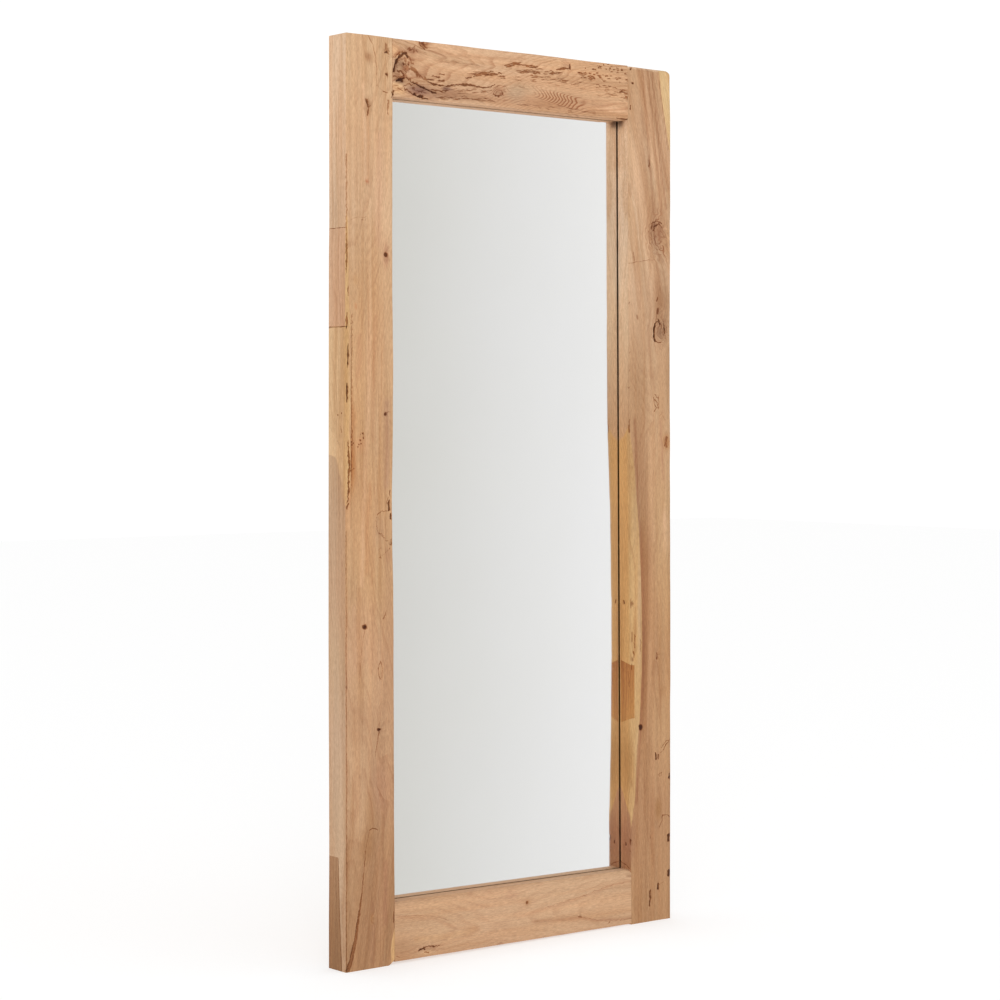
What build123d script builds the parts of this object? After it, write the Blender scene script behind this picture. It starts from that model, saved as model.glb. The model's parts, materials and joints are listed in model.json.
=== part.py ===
"""Leaning floor mirror in a thick reclaimed-teak frame, as an assembly of separate pieces.

Millimetres. +Z is up and the frame stands upright on its two stiles. The front faces -Y, X runs along
the width, and the origin is the bottom centre of the whole object, wall bumpers included.
"""

import os

from build123d import *

# ---- driving dimensions of the frame -------------------------------------------------------------
FRAME_WIDTH = 800.0
FRAME_HEIGHT = 1700.0
FRAME_DEPTH = 55.0
LEFT_STILE_FOOT_WIDTH = 111.0
LEFT_STILE_HEAD_WIDTH = 105.5
RIGHT_STILE_FOOT_WIDTH = 106.0
RIGHT_STILE_HEAD_WIDTH = 116.0
TOP_RAIL_HEIGHT = 108.0
BOTTOM_RAIL_LIFT_LEFT = 5.0
BOTTOM_RAIL_LIFT_RIGHT = 2.0
BOTTOM_RAIL_TOP_LEFT = 114.0
BOTTOM_RAIL_TOP_RIGHT = 108.0
ARRIS = 1.5
RAIL_CHAMFER = 6.0
HEAD_CORNER_RADIUS = 10.0

# ---- glazing: what sits in the back of the frame, front to back ----------------------------------
LIP_DEPTH = 31.0
GLASS_THICKNESS = 4.0
SILVER_THICKNESS = 0.3
CUSHION_THICKNESS = 2.7
PANEL_THICKNESS = 6.0
GLASS_WIDTH = 606.0
GLASS_HEIGHT = 1505.0
GLASS_CENTRE_X = -1.0
GLASS_BOTTOM_Z = 99.0
GLASS_CLEARANCE = 3.0
PANEL_STEP = 15.0
PANEL_CLEARANCE = 1.5
CUSHION_WIDTH = 9.0
SETTING_BLOCK_LENGTH = 60.0
SETTING_BLOCK_SPREAD = 300.0

# ---- joinery -------------------------------------------------------------------------------------
DOWEL_RADIUS = 6.0
DOWEL_LENGTH = 100.0
DOWEL_GLUE_GAP = 0.05
DOWEL_END_GAP = 2.0
DOWEL_PITCH = 36.0

# ---- fixings on the back -------------------------------------------------------------------------
BUMPER_RADIUS = 11.0
BUMPER_HEIGHT = 8.0
BUMPER_INSET_X = 28.0
BUMPER_INSET_Z = 45.0
STRAP_WIDTH = 16.0
STRAP_THICKNESS = 3.0
STRAP_LENGTH = 68.0
STRAP_SHEET = 1.5
RING_WIRE_RADIUS = 1.75
RING_CLEARANCE = 0.1
RING_HALF_WIDTH = 12.0
RING_SIDE = 8.0
RING_CORNER = 3.0
RING_REST_ANGLE = 6.0
HANGER_X = 360.0
HANGER_Z = 1400.0
HANGER_SCREW_DROPS = (28.0, 44.0, 60.0)
SCREW_GAP = 0.05

# ---- reclaimed-wood patches let into the stiles --------------------------------------------------
PATCH_DEPTH = 12.0
FOOT_PATCH_TOP = 205.0
CORNER_PATCH_BOTTOM = 800.0
CORNER_PATCH_TOP = 1168.0
SIDE_PATCH_TOP = 1348.0
INNER_PATCH_BOTTOM = 398.0
INNER_PATCH_TOP = 522.0
WANE_BOTTOM = 190.0
WANE_MIDDLE = 560.0
WANE_TOP = 990.0
WANE_WIDTH = 26.0
WANE_DEPTH = 5.0

# ---- places worked out from the above ------------------------------------------------------------
LEFT = -FRAME_WIDTH / 2
RIGHT = FRAME_WIDTH / 2
FRONT = -(FRAME_DEPTH + BUMPER_HEIGHT) / 2
BACK = FRONT + FRAME_DEPTH
GLASS_FRONT = FRONT + LIP_DEPTH
SILVER_FRONT = GLASS_FRONT + GLASS_THICKNESS
CUSHION_FRONT = SILVER_FRONT + SILVER_THICKNESS
PANEL_FRONT = CUSHION_FRONT + CUSHION_THICKNESS
PANEL_BACK = PANEL_FRONT + PANEL_THICKNESS
TOP_RAIL_BOTTOM = FRAME_HEIGHT - TOP_RAIL_HEIGHT
GLASS_X = (GLASS_CENTRE_X - GLASS_WIDTH / 2, GLASS_CENTRE_X + GLASS_WIDTH / 2)
GLASS_Z = (GLASS_BOTTOM_Z, GLASS_BOTTOM_Z + GLASS_HEIGHT)


def left_joint_x(z):
    """X of the left stile's inner edge at height z."""
    taper = (LEFT_STILE_HEAD_WIDTH - LEFT_STILE_FOOT_WIDTH) / FRAME_HEIGHT
    return LEFT + LEFT_STILE_FOOT_WIDTH + taper * z


def right_joint_x(z):
    """X of the right stile's inner edge at height z."""
    taper = (RIGHT_STILE_HEAD_WIDTH - RIGHT_STILE_FOOT_WIDTH) / FRAME_HEIGHT
    return RIGHT - RIGHT_STILE_FOOT_WIDTH - taper * z


def block(x, y, z):
    """Box between two limits on each axis."""
    size = Box(x[1] - x[0], y[1] - y[0], z[1] - z[0], align=(Align.MIN,) * 3)
    return Pos(x[0], y[0], z[0]) * size


def grown(limits, margin):
    """Limits moved apart by a margin at each end."""
    return (limits[0] - margin, limits[1] + margin)


def board(corners, depth=(FRONT, BACK)):
    """Flat board whose outline is given by (x, z) corners."""
    outline = Polyline(*[(x, depth[0], z) for x, z in corners], close=True)
    return extrude(make_face(outline), amount=depth[1] - depth[0], dir=(0, 1, 0))


def side_block(corners, x):
    """Block whose outline is given by (depth behind the front, z) corners, between two X limits."""
    outline = Polyline(*[(x[0], FRONT + d, z) for d, z in corners], close=True)
    return extrude(make_face(outline), amount=x[1] - x[0], dir=(1, 0, 0))


def rounded(solid, axis, radius, keep=lambda edge: True):
    """Rounds the edges that run along an axis, where keep allows it."""
    edges = [edge for edge in solid.edges().filter_by(axis, tolerance=1.0) if keep(edge)]
    return fillet(edges, radius)


def long_front_edge(rail, upper):
    """A rail's lower (0) or upper (1) long edge on the front face."""
    edges = [e for e in rail.edges() if e.length > FRAME_WIDTH / 2 and e.center().Y < 0]
    return sorted(edges, key=lambda e: e.center().Z)[upper]


# ---- wood ----------------------------------------------------------------------------------------
def glazing_rebates():
    """The two steps cut round the back of the opening: one for the glass, one for the panel."""
    glass_step = block(
        grown(GLASS_X, GLASS_CLEARANCE), (GLASS_FRONT, BACK + 1), grown(GLASS_Z, GLASS_CLEARANCE)
    )
    wide = GLASS_CLEARANCE + PANEL_STEP
    panel_step = block(grown(GLASS_X, wide), (PANEL_FRONT, BACK + 1), grown(GLASS_Z, wide))
    return glass_step + panel_step


def dowel_centres(side, rail):
    """(x, z) of the two dowels that join a rail to a stile."""
    middle = FRAME_HEIGHT - 43.0 if rail == "top" else 43.0
    joint = left_joint_x if side == "left" else right_joint_x
    return [(joint(z), z) for z in (middle - DOWEL_PITCH / 2, middle + DOWEL_PITCH / 2)]


def dowel_rod(centre, radius, length):
    """Rod along X through a joint, centred in the frame's depth."""
    x, z = centre
    return Pos(x, (FRONT + BACK) / 2, z) * Rot(0, 90, 0) * Cylinder(radius, length)


def dowel_holes():
    """Every dowel hole in the frame."""
    centres = [c for side in ("left", "right") for rail in ("top", "bottom")
               for c in dowel_centres(side, rail)]
    return [dowel_rod(c, DOWEL_RADIUS, DOWEL_LENGTH + 2 * DOWEL_END_GAP) for c in centres]


def dowels(side, rail):
    """The pair of fluted beech dowels of one corner, drawn plain with chamfered ends."""
    rods = []
    for centre in dowel_centres(side, rail):
        rod = dowel_rod(centre, DOWEL_RADIUS - DOWEL_GLUE_GAP, DOWEL_LENGTH)
        rods.append(chamfer(rod.edges().filter_by(GeomType.CIRCLE), 1.0))
    return Compound(children=rods)


def wane():
    """Natural bevel along the right stile's inner front edge, widest near the middle."""
    sections = []
    for z, share in ((WANE_BOTTOM, 0.02), (340.0, 0.6), (WANE_MIDDLE, 1.0), (820.0, 0.75),
                     (WANE_TOP, 0.02)):
        x = right_joint_x(z)
        corner = (x - 1, FRONT - 1, z)
        along_face = (x + WANE_WIDTH * share, FRONT - 1, z)
        into_opening = (x - 1, FRONT + WANE_DEPTH * share, z)
        sections.append(make_face(Polyline(corner, along_face, into_opening, close=True)))
    return loft(sections, ruled=True)


def foot_patch():
    """Dark block at the left stile's foot, let into the outer side."""
    outline = [(12, 0), (FRAME_DEPTH, 0), (FRAME_DEPTH, FOOT_PATCH_TOP), (25, FOOT_PATCH_TOP)]
    return side_block(outline, (LEFT, LEFT + PATCH_DEPTH))


def corner_patch():
    """Yellow sapwood piece that wraps the left stile's outer front corner, with a scarfed foot."""
    outline = [(0, CORNER_PATCH_BOTTOM), (14, 850), (18, 950), (FRAME_DEPTH, 990),
               (FRAME_DEPTH, CORNER_PATCH_TOP), (0, CORNER_PATCH_TOP)]
    return side_block(outline, (LEFT, LEFT + PATCH_DEPTH))


def side_patch():
    """Pinkish block on the left stile's outer side, above the sapwood piece."""
    outline = [(2, CORNER_PATCH_TOP), (FRAME_DEPTH, CORNER_PATCH_TOP),
               (FRAME_DEPTH, SIDE_PATCH_TOP), (2, SIDE_PATCH_TOP)]
    return side_block(outline, (LEFT, LEFT + PATCH_DEPTH))


def inner_patch():
    """Red-brown block let into the right stile's inner side, under the wane."""
    inner = right_joint_x((INNER_PATCH_BOTTOM + INNER_PATCH_TOP) / 2)
    slant = 10.0
    outline = [(0, INNER_PATCH_BOTTOM + slant), (LIP_DEPTH - 2, INNER_PATCH_BOTTOM),
               (LIP_DEPTH - 2, INNER_PATCH_TOP), (0, INNER_PATCH_TOP - slant)]
    return side_block(outline, (inner - 2, inner + PATCH_DEPTH))


def left_stile_blank():
    corners = [(LEFT, 0), (left_joint_x(0), 0), (left_joint_x(FRAME_HEIGHT), FRAME_HEIGHT),
               (LEFT, FRAME_HEIGHT)]
    blank = rounded(board(corners), Axis.Z, ARRIS, lambda e: e.center().X < LEFT + 1)
    return blank - glazing_rebates() - dowel_holes()


def right_stile_blank():
    corners = [(right_joint_x(0), 0), (RIGHT, 0), (RIGHT, FRAME_HEIGHT),
               (right_joint_x(FRAME_HEIGHT), FRAME_HEIGHT)]
    blank = rounded(board(corners), Axis.Z, ARRIS, lambda e: e.center().X > RIGHT - 1)
    head = blank.edges().filter_by(Axis.Y).sort_by(lambda e: e.center().X + e.center().Z)[-1]
    return fillet(head, HEAD_CORNER_RADIUS) - glazing_rebates() - dowel_holes()


def top_rail():
    corners = [(left_joint_x(z), z) for z in (FRAME_HEIGHT, TOP_RAIL_BOTTOM)]
    corners += [(right_joint_x(z), z) for z in (TOP_RAIL_BOTTOM, FRAME_HEIGHT)]
    lower = long_front_edge(board(corners), 0)
    return fillet(lower, ARRIS) - glazing_rebates() - dowel_holes()


def bottom_rail():
    corners = [(left_joint_x(BOTTOM_RAIL_LIFT_LEFT), BOTTOM_RAIL_LIFT_LEFT),
               (right_joint_x(BOTTOM_RAIL_LIFT_RIGHT), BOTTOM_RAIL_LIFT_RIGHT),
               (right_joint_x(BOTTOM_RAIL_TOP_RIGHT), BOTTOM_RAIL_TOP_RIGHT),
               (left_joint_x(BOTTOM_RAIL_TOP_LEFT), BOTTOM_RAIL_TOP_LEFT)]
    upper = long_front_edge(board(corners), 1)
    return chamfer(upper, RAIL_CHAMFER) - glazing_rebates() - dowel_holes()


# ---- glazing -------------------------------------------------------------------------------------
def sheet(y_front, thickness, margin=0.0):
    """Flat sheet of the glass's outline, pulled in by a margin."""
    return block(grown(GLASS_X, -margin), (y_front, y_front + thickness), grown(GLASS_Z, -margin))


def cushion_strips():
    """Four foam strips between the silvered back and the panel, mitre-free butt ends."""
    depth = (CUSHION_FRONT, PANEL_FRONT)
    x0, x1 = grown(GLASS_X, -1.0)
    z0, z1 = grown(GLASS_Z, -1.0)
    uprights = [block((x, x + CUSHION_WIDTH), depth, (z0, z1)) for x in (x0, x1 - CUSHION_WIDTH)]
    across = (x0 + CUSHION_WIDTH + 1, x1 - CUSHION_WIDTH - 1)
    rails = [block(across, depth, (z, z + CUSHION_WIDTH)) for z in (z0, z1 - CUSHION_WIDTH)]
    return Compound(children=uprights + rails)


def setting_blocks():
    """Two hard rubber blocks that carry the glass's weight on the bottom rail's rebate."""
    blocks = []
    for centre in (-SETTING_BLOCK_SPREAD / 2, SETTING_BLOCK_SPREAD / 2):
        span = grown((GLASS_CENTRE_X + centre, GLASS_CENTRE_X + centre), SETTING_BLOCK_LENGTH / 2)
        blocks.append(block(span, (GLASS_FRONT, CUSHION_FRONT),
                            (GLASS_BOTTOM_Z - GLASS_CLEARANCE, GLASS_BOTTOM_Z)))
    return Compound(children=blocks)


def panel_screw_places():
    """(x, z) of the screws round the panel, on the middle of its step."""
    edge = GLASS_CLEARANCE + PANEL_STEP / 2
    x0, x1 = grown(GLASS_X, edge)
    z0, z1 = grown(GLASS_Z, edge)
    rows, columns = 6, 3
    pitch_z = (z1 - z0) / rows
    pitch_x = (x1 - x0) / columns
    places = [(x, z0 + pitch_z * (n + 0.5)) for x in (x0, x1) for n in range(rows)]
    places += [(x0 + pitch_x * (n + 0.5), z) for z in (z0, z1) for n in range(columns)]
    return places


def pan_screw(radius, length, head_radius, head_height):
    """Pan-head wood screw with a cross recess: head above z = 0, shank and point below."""
    waist = head_height * 0.45
    point = radius * 2
    profile = Polyline((0, -length), (radius, -length + point), (radius, 0), (head_radius, 0),
                       (head_radius, waist))
    dome = ThreePointArc((head_radius, waist), (head_radius * 0.6, head_height * 0.88),
                         (0, head_height))
    axis_line = Line((0, head_height), (0, -length))
    turned = revolve(Plane.XZ * make_face(profile + dome + axis_line), Axis.Z)
    slot = head_radius * 1.05
    for angle in (0, 90):
        arm = Box(slot, head_radius * 0.2, head_height)
        turned -= Rot(0, 0, angle) * Pos(0, 0, head_height) * arm
    return turned


def on_back(shape, x, y, z):
    """Stands a shape that is built along +Z on a face that looks along +Y."""
    return Pos(x, y, z) * Rot(-90, 0, 0) * shape


PANEL_SCREW = {"radius": 1.75, "length": 18.0, "head_radius": 3.6, "head_height": 2.4}
HANGER_SCREW = {"radius": 2.0, "length": 24.0, "head_radius": 4.0, "head_height": 2.6}


def screw_hole(x, y, z, screw):
    """Hole that a screw turns in, as deep as its shank and open at y."""
    hole = Cylinder(screw["radius"] + SCREW_GAP, screw["length"] + 1,
                    align=(Align.CENTER, Align.CENTER, Align.MAX))
    return on_back(hole, x, y, z)


def backing_panel():
    """Plywood panel that closes the back and holds the glass in."""
    margin = GLASS_CLEARANCE + PANEL_STEP - PANEL_CLEARANCE
    panel = sheet(PANEL_FRONT, PANEL_THICKNESS, -margin)
    return panel - [screw_hole(x, PANEL_BACK, z, PANEL_SCREW) for x, z in panel_screw_places()]


def panel_screws():
    screw = pan_screw(**PANEL_SCREW)
    return Compound(children=[on_back(screw, x, PANEL_BACK, z) for x, z in panel_screw_places()])


# ---- hangers and bumpers -------------------------------------------------------------------------
BARREL_RADIUS = RING_WIRE_RADIUS + RING_CLEARANCE + STRAP_SHEET
PIVOT_Y = BACK + BARREL_RADIUS


def hanger_strap(side):
    """Steel strap folded round the ring's straight leg, screwed flat to the stile's back."""
    barrel = BARREL_RADIUS
    body = Polyline((0, 0), (0, -STRAP_LENGTH), (STRAP_THICKNESS, -STRAP_LENGTH),
                    (STRAP_THICKNESS, -8), (barrel + 2.8, -1.8), (barrel, 0), close=True)
    profile = make_face(body) + Pos(barrel, 0) * Circle(barrel)
    profile -= Pos(barrel, 0) * Circle(RING_WIRE_RADIUS + RING_CLEARANCE)
    stood = Plane(origin=(side * HANGER_X - STRAP_WIDTH / 2, BACK, HANGER_Z),
                  x_dir=(0, 1, 0), z_dir=(1, 0, 0))
    strap = extrude(stood * profile, amount=STRAP_WIDTH)
    foot = [e for e in strap.edges().filter_by(Axis.Y) if e.center().Z < HANGER_Z - STRAP_LENGTH + 1]
    strap = fillet(foot, STRAP_WIDTH / 2 - 0.5)
    face = BACK + STRAP_THICKNESS
    return strap - [screw_hole(side * HANGER_X, face, HANGER_Z - drop, HANGER_SCREW)
                    for drop in HANGER_SCREW_DROPS]


def hanger_screws(side):
    screw = pan_screw(**HANGER_SCREW)
    face = BACK + STRAP_THICKNESS
    return Compound(children=[on_back(screw, side * HANGER_X, face, HANGER_Z - drop)
                              for drop in HANGER_SCREW_DROPS])


def hanger_ring(side):
    """D-shaped wire ring, hanging down from the strap's fold and resting on the strap."""
    half, side_end, corner = RING_HALF_WIDTH, -RING_SIDE, RING_CORNER
    bend = corner * (1 - 2 ** -0.5)
    leg = Line((-half + corner, 0), (half - corner, 0))
    right_bend = ThreePointArc(leg @ 1, (half - bend, -bend), (half, -corner))
    right_side = Line(right_bend @ 1, (half, side_end))
    bow = ThreePointArc(right_side @ 1, (0, side_end - half), (-half, side_end))
    left_side = Line(bow @ 1, (-half, -corner))
    left_bend = ThreePointArc(left_side @ 1, (-half + bend, -bend), leg @ 0)
    path = Plane.XZ * Wire([leg.edge(), right_bend.edge(), right_side.edge(), bow.edge(),
                            left_side.edge(), left_bend.edge()])
    wire = sweep(Plane.YZ * Circle(RING_WIRE_RADIUS), path=path)
    return Pos(side * HANGER_X, PIVOT_Y, HANGER_Z) * Rot(RING_REST_ANGLE, 0, 0) * wire


def wall_bumpers():
    """Four rubber domes that keep the frame and its hangers off the wall."""
    dome = Cylinder(BUMPER_RADIUS, BUMPER_HEIGHT, align=(Align.CENTER, Align.CENTER, Align.MIN))
    dome = fillet(dome.edges().sort_by(Axis.Z)[-1], 4.0)
    return Compound(children=[
        on_back(dome, side * (RIGHT - BUMPER_INSET_X), BACK, z)
        for side in (-1, 1) for z in (BUMPER_INSET_Z, FRAME_HEIGHT - BUMPER_INSET_Z)
    ])


def frame_holes():
    """Screw holes in the stiles and rails, for the panel and the hangers."""
    holes = [screw_hole(x, PANEL_BACK, z, PANEL_SCREW) for x, z in panel_screw_places()]
    face = BACK + STRAP_THICKNESS
    holes += [screw_hole(side * HANGER_X, face, HANGER_Z - drop, HANGER_SCREW)
              for side in (-1, 1) for drop in HANGER_SCREW_DROPS]
    return holes


def main():
    holes = frame_holes()
    patches = {
        "left_foot_patch": foot_patch(),
        "left_corner_patch": corner_patch(),
        "left_side_patch": side_patch(),
    }
    right_blank = right_stile_blank() - wane() - holes
    parts = {
        "left_stile": left_stile_blank() - list(patches.values()) - holes,
        "right_stile": right_blank - inner_patch(),
        "right_inner_patch": inner_patch() & right_blank,
        "top_rail": top_rail() - holes,
        "bottom_rail": bottom_rail() - holes,
        **{name: patch & left_stile_blank() for name, patch in patches.items()},
        "mirror_glass": sheet(GLASS_FRONT, GLASS_THICKNESS),
        "silver_backing": sheet(SILVER_FRONT, SILVER_THICKNESS),
        "cushion_strips": cushion_strips(),
        "setting_blocks": setting_blocks(),
        "backing_panel": backing_panel(),
        "panel_screws": panel_screws(),
        "wall_bumpers": wall_bumpers(),
    }
    for side, name in ((-1, "left"), (1, "right")):
        parts[f"{name}_hanger_strap"] = hanger_strap(side)
        parts[f"{name}_hanger_ring"] = hanger_ring(side)
        parts[f"{name}_hanger_screws"] = hanger_screws(side)
        for rail in ("top", "bottom"):
            parts[f"{rail}_{name}_dowels"] = dowels(name, rail)
    os.makedirs("parts", exist_ok=True)
    for name, shape in parts.items():
        export_step(shape, f"parts/{name}.step")


main()
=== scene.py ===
"""Looks of the rustic teak floor mirror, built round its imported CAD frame.

Sizes in the tables below are millimetres from the frame's lower left front corner: X to the right,
D back from the front face, Z up. Everything is placed in metres in the frame's own coordinates.
"""

from __future__ import annotations

import json
import logging
import math
from dataclasses import dataclass, field
from enum import Enum
from typing import Iterable, Sequence

import bmesh
import bpy
import numpy as np
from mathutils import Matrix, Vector

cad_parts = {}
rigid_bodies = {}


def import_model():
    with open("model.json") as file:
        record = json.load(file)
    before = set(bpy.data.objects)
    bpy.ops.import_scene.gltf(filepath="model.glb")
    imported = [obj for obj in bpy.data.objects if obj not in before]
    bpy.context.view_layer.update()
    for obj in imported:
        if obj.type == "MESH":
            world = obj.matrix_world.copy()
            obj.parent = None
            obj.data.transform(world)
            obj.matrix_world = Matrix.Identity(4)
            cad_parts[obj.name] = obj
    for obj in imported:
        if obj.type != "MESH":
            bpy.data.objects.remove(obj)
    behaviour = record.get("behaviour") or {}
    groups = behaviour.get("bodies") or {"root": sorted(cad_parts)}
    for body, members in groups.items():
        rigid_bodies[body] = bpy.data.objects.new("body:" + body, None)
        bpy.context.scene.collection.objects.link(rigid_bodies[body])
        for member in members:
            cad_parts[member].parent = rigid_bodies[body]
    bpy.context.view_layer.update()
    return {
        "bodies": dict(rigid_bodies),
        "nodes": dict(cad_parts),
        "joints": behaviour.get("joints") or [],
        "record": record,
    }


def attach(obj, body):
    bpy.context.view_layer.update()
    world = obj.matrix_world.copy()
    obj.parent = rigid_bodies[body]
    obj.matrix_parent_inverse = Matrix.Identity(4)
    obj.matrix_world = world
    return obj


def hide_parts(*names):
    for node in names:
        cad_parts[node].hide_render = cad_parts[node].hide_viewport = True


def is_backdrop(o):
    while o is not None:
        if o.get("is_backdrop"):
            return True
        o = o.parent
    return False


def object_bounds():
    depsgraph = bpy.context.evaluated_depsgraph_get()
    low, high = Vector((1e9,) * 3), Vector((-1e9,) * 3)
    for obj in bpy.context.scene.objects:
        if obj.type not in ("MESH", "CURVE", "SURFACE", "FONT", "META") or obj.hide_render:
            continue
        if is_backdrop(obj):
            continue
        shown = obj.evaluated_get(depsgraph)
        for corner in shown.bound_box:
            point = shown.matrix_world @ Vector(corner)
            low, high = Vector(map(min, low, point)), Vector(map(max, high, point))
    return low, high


log = logging.getLogger("floor_mirror")

MM = 0.001
BODY = "mirror"
WAVE_COUNT = 9
MERGE_DISTANCE = 2e-6
FLAT_ANGLE = math.radians(0.3)
SHARP_ANGLE = math.radians(38)
EDGE_FADE = 45.0
REVEAL_DEPTH = 31.0
KNOT_FADE = 18.0
STAIN_FADE = 12.0
VEIN_FADE = 10.0
NO_SAPWOOD = -50.0
LONG_ARRIS = 1.2
END_ARRIS = 0.5
SHORTEST_ARRIS = 0.02
LEAST_FOLD = 1.0
DEPTH_STEP = 4.0
SKIN = 2.5
FRAME_WIDTH = 800.0
FRAME_HEIGHT = 1700.0
WANE_REACH = 6.0
LEFT_WAVE = (
    (0, 0.9), (80, 0.7), (143, 1.2), (207, 1.6), (335, 1.2), (463, 0.5), (591, 0.05), (783, 0.05),
    (1038, 0.35), (1294, 0.75), (1358, 1.7), (1486, 1.5), (1677, 0.85), (1700, 0.9),
)
RIGHT_WAVE = (
    (0, 1.4), (56, 1.35), (197, 0.85), (338, 0.7), (478, 0.05), (549, 0.05), (689, 0.3), (830, 0.7),
    (971, 1.3), (1041, 2.0), (1182, 2.0), (1323, 1.2), (1463, 0.5), (1604, 0.7), (1674, 2.0),
    (1700, 2.2),
)
TOP_WAVE = (
    (0, 1.0), (54, 0.7), (111, 1.2), (170, 0.8), (258, 0.5), (316, 0.8), (375, 0.5), (434, 0.05),
    (493, 0.2), (551, 0.7), (581, 1.0), (669, 0.6), (700, 0.1), (735, 0.8), (800, 1.0),
)
LEFT_INNER_WAVE = (
    (0, 0), (178, 0), (324, -0.5), (470, -0.8), (615, -1.0), (688, -1.2), (761, -2.8), (834, -3.6),
    (906, -2.5), (979, -0.8), (1125, 0), (1270, -1.2), (1416, -1.0), (1561, 0), (1700, 0),
)
WANE_SHARE = ((0, 0), (190, 0.02), (340, 0.6), (560, 1.0), (820, 0.75), (990, 0.02), (1700, 0))

Point = tuple[float, float]
Colour = tuple[float, float, float]


# ---- small tools ---------------------------------------------------------------------------------
def linear(colour: Sequence[float]) -> Colour:
    """Scene-linear colour of a 0 to 255 display colour.

    Args:
        colour: Red, green and blue, each 0 to 255.

    Returns:
        The same colour as linear light.
    """
    share = [c / 255 for c in colour]
    return tuple(c / 12.92 if c <= 0.04045 else ((c + 0.055) / 1.055) ** 2.4 for c in share)


def swell(points: np.ndarray, reach: Sequence[float], seed: int) -> np.ndarray:
    """Smooth random rise and fall, mostly between -1 and 1.

    Args:
        points: N x 3 places in mm.
        reach: Typical length of one wave along X, D and Z, in mm.
        seed: Picks the waves.

    Returns:
        One height for each place.
    """
    rng = np.random.default_rng(seed)
    total = np.zeros(len(points))
    for _ in range(WAVE_COUNT):
        heading = rng.normal(size=3) / np.asarray(reach, float)
        total += np.sin(points @ heading * 4.0 + rng.uniform(0, 2 * math.pi))
    return total / (1.5 * math.sqrt(WAVE_COUNT / 2))


def ease(value: np.ndarray, low: float, high: float) -> np.ndarray:
    """Rises smoothly from 0 at low to 1 at high.

    Args:
        value: What is compared.
        low: Where the rise starts.
        high: Where it ends; below low for a fall.

    Returns:
        Shares from 0 to 1.
    """
    share = np.clip((value - low) / (high - low), 0, 1)
    return share * share * (3 - 2 * share)


def from_path(plane: np.ndarray, path: Sequence[Point]) -> tuple[np.ndarray, np.ndarray]:
    """How far points are from a path of straight runs.

    Args:
        plane: N x 2 places on a face, in mm.
        path: The path's corners; one corner makes a dot.

    Returns:
        Distances, and how far along the path the nearest place is, 0 to 1.
    """
    corners = np.asarray(path, float)
    best = np.linalg.norm(plane - corners[0], axis=1)
    share = np.zeros(len(plane))
    steps = np.diff(corners, axis=0)
    lengths = np.linalg.norm(steps, axis=1)
    total = max(float(lengths.sum()), 1e-6)
    done = 0.0
    for start, step, length in zip(corners[:-1], steps, lengths):
        t = np.clip((plane - start) @ step / length**2, 0, 1)
        distance = np.linalg.norm(plane - start - t[:, None] * step, axis=1)
        closer = distance < best
        best = np.where(closer, distance, best)
        share = np.where(closer, (done + t * length) / total, share)
        done += length
    return best, share


def new_object(name: str, bm: bmesh.types.BMesh) -> bpy.types.Object:
    """Makes an object in the scene from a bmesh, which is freed.

    Args:
        name: Name of the mesh and of the object.
        bm: The shape.

    Returns:
        The object.
    """
    mesh = bpy.data.meshes.new(name)
    bm.to_mesh(mesh)
    bm.free()
    made = bpy.data.objects.new(name, mesh)
    bpy.context.scene.collection.objects.link(made)
    return made


# ---- what time and the saw left in the wood ------------------------------------------------------
class Face(Enum):
    """Which face of a board a mark is on."""

    FRONT = "front"
    OUTER = "outer"
    INNER = "inner"


@dataclass(frozen=True)
class Crack:
    """Dark groove along a path, or a hole where the path is one corner."""

    path: tuple[Point, ...]
    width: tuple[float, float] = (1.5, 0.8)
    depth: float = 1.0
    strength: float = 0.9
    face: Face = Face.FRONT
    fray: float = 0.8
    soak: float = 4.0
    taper: bool = False

    def cut(self, places: np.ndarray, plane: np.ndarray) -> np.ndarray:
        """Share of the full depth at each place.

        Args:
            places: N x 3 places in mm.
            plane: The same places on the crack's face.

        Returns:
            Shares from 0 to 1.
        """
        seed = int(abs(self.path[0][0] * 7 + self.path[0][1] * 13)) % 9973
        shift = np.stack([swell(places, (9, 9, 9), seed + n) for n in (1, 2)], axis=1)
        distance, share = from_path(plane + self.fray * shift, self.path)
        half = 0.5 * (self.width[0] + (self.width[1] - self.width[0]) * share)
        half = half * (1 + 0.35 * swell(places, (14, 14, 14), seed + 3))
        if self.taper:
            half = half * np.sqrt(np.clip(4 * share * (1 - share), 0, 1))
        return ease(distance / np.maximum(half, 0.2), 1.35, 0.55)

    def reach(self) -> float:
        """How far from its path the groove shows, in mm."""
        return max(self.width) + self.fray


@dataclass(frozen=True)
class Knot:
    """Round or oval knot that the growth rings bend round."""

    centre: Point
    radii: Point = (8.0, 12.0)
    rings: float = 2.0
    strength: float = 0.6
    dip: float = 0.0
    face: Face = Face.FRONT

    def bulge(self, plane: np.ndarray) -> np.ndarray:
        """Bell-shaped share of the knot at each place on its face."""
        offset = (plane - np.asarray(self.centre)) / np.asarray(self.radii)
        return np.exp(-np.sum(offset**2, axis=1))


@dataclass(frozen=True)
class Stain:
    """Soft patch of another colour."""

    centre: Point
    radii: Point
    colour: Colour
    strength: float = 0.5
    face: Face = Face.FRONT
    sap: bool = False


@dataclass(frozen=True)
class Vein:
    """Soft streak of another colour along a path."""

    path: tuple[Point, ...]
    width: float
    colour: Colour
    strength: float = 0.5
    face: Face = Face.FRONT


@dataclass(frozen=True)
class Feather:
    """Chevron figure, pointing to the right."""

    centre: Point
    radii: Point
    pitch: float = 9.0
    slope: float = 1.1


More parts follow.
